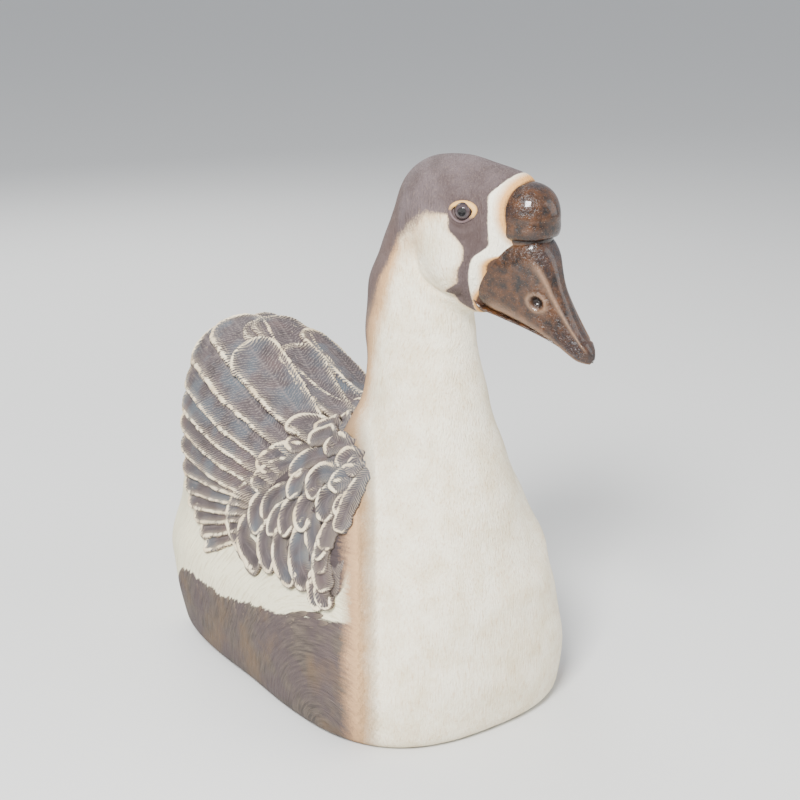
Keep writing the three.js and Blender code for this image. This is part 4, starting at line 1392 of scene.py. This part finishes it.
def make_eye(side):
    """A glazed ball with a pressed pupil, and the rolled clay lid round it."""
    label = "left" if side > 0 else "right"
    polar = np.linspace(0.03, np.pi - 0.03, 60)[:, None]
    turn = around(72)
    disc = np.sin(polar) + 0 * turn
    front = np.cos(polar) + 0 * turn
    looks = np.where(front > 0, disc, 2 - disc)
    pupil, iris_edge = bell(looks, 0, 0.34, 4), bell(looks, 0.5, 0.1)
    r = np.where(front > 0, EYE_RADIUS * (1 - 0.16 * pupil + 0.02 * iris_edge), EYE_RADIUS)
    local = np.stack([r * front, r * disc * np.cos(turn), r * disc * np.sin(turn)], -1)
    out = EYE_AT[1] - 0.6 + local[..., 0] * math.cos(EYE_YAW) - local[..., 1] * math.sin(EYE_YAW)
    ahead = EYE_AT[0] + local[..., 0] * math.sin(EYE_YAW) + local[..., 1] * math.cos(EYE_YAW)
    grid = head_point(ahead, side * out, EYE_AT[2] + local[..., 2])
    ball = solid("eye_" + label + "_glazed", grid, {"looks": looks})
    # the lid: a roll of clay round an almond opening, thickest over the top and front
    path = np.linspace(0, 2 * np.pi, 132)[:-1][:, None]
    roll = around(28)
    over = 0.5 + 0.5 * np.sin(path + 0.35)
    wide, tall, fat = 7.4 + 0.5 * np.cos(path) ** 2, 6.3 - 1.1 * over, 0.75 + 1.05 * over
    reach_out = np.cos(roll) * fat
    ahead = EYE_AT[0] + 0.3 + (wide + reach_out) * np.cos(path) + 0.9 * np.sin(path) * np.cos(path)
    above = EYE_AT[2] - 0.3 + (tall + reach_out) * np.sin(path)
    seat = lid_seat(ahead, above)
    grid = head_point(ahead, side * (seat + 0.35 + np.sin(roll) * fat * 0.85), above)
    lid = ring_piece("lid_" + label + "_slip", grid, {"over": over + 0 * roll})
    return ball, lid


for side, label in ((-1, "right"), (1, "left")):
    ball, lid = make_eye(side)
    dress(ball, eye_glaze, "eye_glaze", f"eye_{label}")
    dress(lid, lid_slip, "cream_slip")

# %% [markdown]
# ## The studio
# The goose stands on a plain pale floor. Soft lamps could hide its tooling, so the key is small
# enough to draw every stroke, and a weak fill and back light open the shadows.

# %% Camera, floor and lights
CAMERA_AT, CAMERA_DOWN, CAMERA_ROUND, CAMERA_LENS = (-0.6036, -0.8472, 0.533), 17.74, -37, 67.5
# name, place in metres, watts, size in metres
LAMPS = (("key", (-1.35, -1.05, 1.6), 135, 0.6), ("fill", (1.2, -1.3, 0.9), 18, 1.4),
         ("back", (0.3, 1.5, 1.3), 26, 1.2))


def set_stage():
    """A pale floor, three soft lights and the camera at head height, looking down on the goose."""
    bpy.ops.mesh.primitive_plane_add(size=60.0)
    floor = bpy.context.object
    floor.name = "studio_floor"
    paint = Shader("studio_floor", Base_Color=(0.62, 0.62, 0.6, 1), Roughness=0.9)
    floor.data.materials.append(paint.material)
    camera_data = bpy.data.cameras.new("camera")
    camera_data.lens, camera_data.sensor_width = CAMERA_LENS, 36.0
    camera = bpy.data.objects.new("camera", camera_data)
    camera.location = CAMERA_AT
    camera.rotation_euler = (math.radians(90 - CAMERA_DOWN), 0.0, math.radians(CAMERA_ROUND))
    bpy.context.scene.collection.objects.link(camera)
    bpy.context.scene.camera = camera
    for name, place, power, size in LAMPS:
        light = bpy.data.objects.new(name, bpy.data.lights.new(name, "AREA"))
        light.data.energy, light.data.size = power, size
        light.location = place
        aim = -np.array(place) + (0, 0, 0.18)
        tip = math.atan2(math.hypot(aim[0], aim[1]), -aim[2])
        light.rotation_euler = (tip, 0, math.atan2(-aim[0], aim[1]))
        bpy.context.scene.collection.objects.link(light)
    world = bpy.data.worlds.new("studio")
    world.use_nodes = True
    world.node_tree.nodes["Background"].inputs["Color"].default_value = (0.9, 0.93, 1.0, 1)
    world.node_tree.nodes["Background"].inputs["Strength"].default_value = 0.8
    bpy.context.scene.world = world


set_stage()
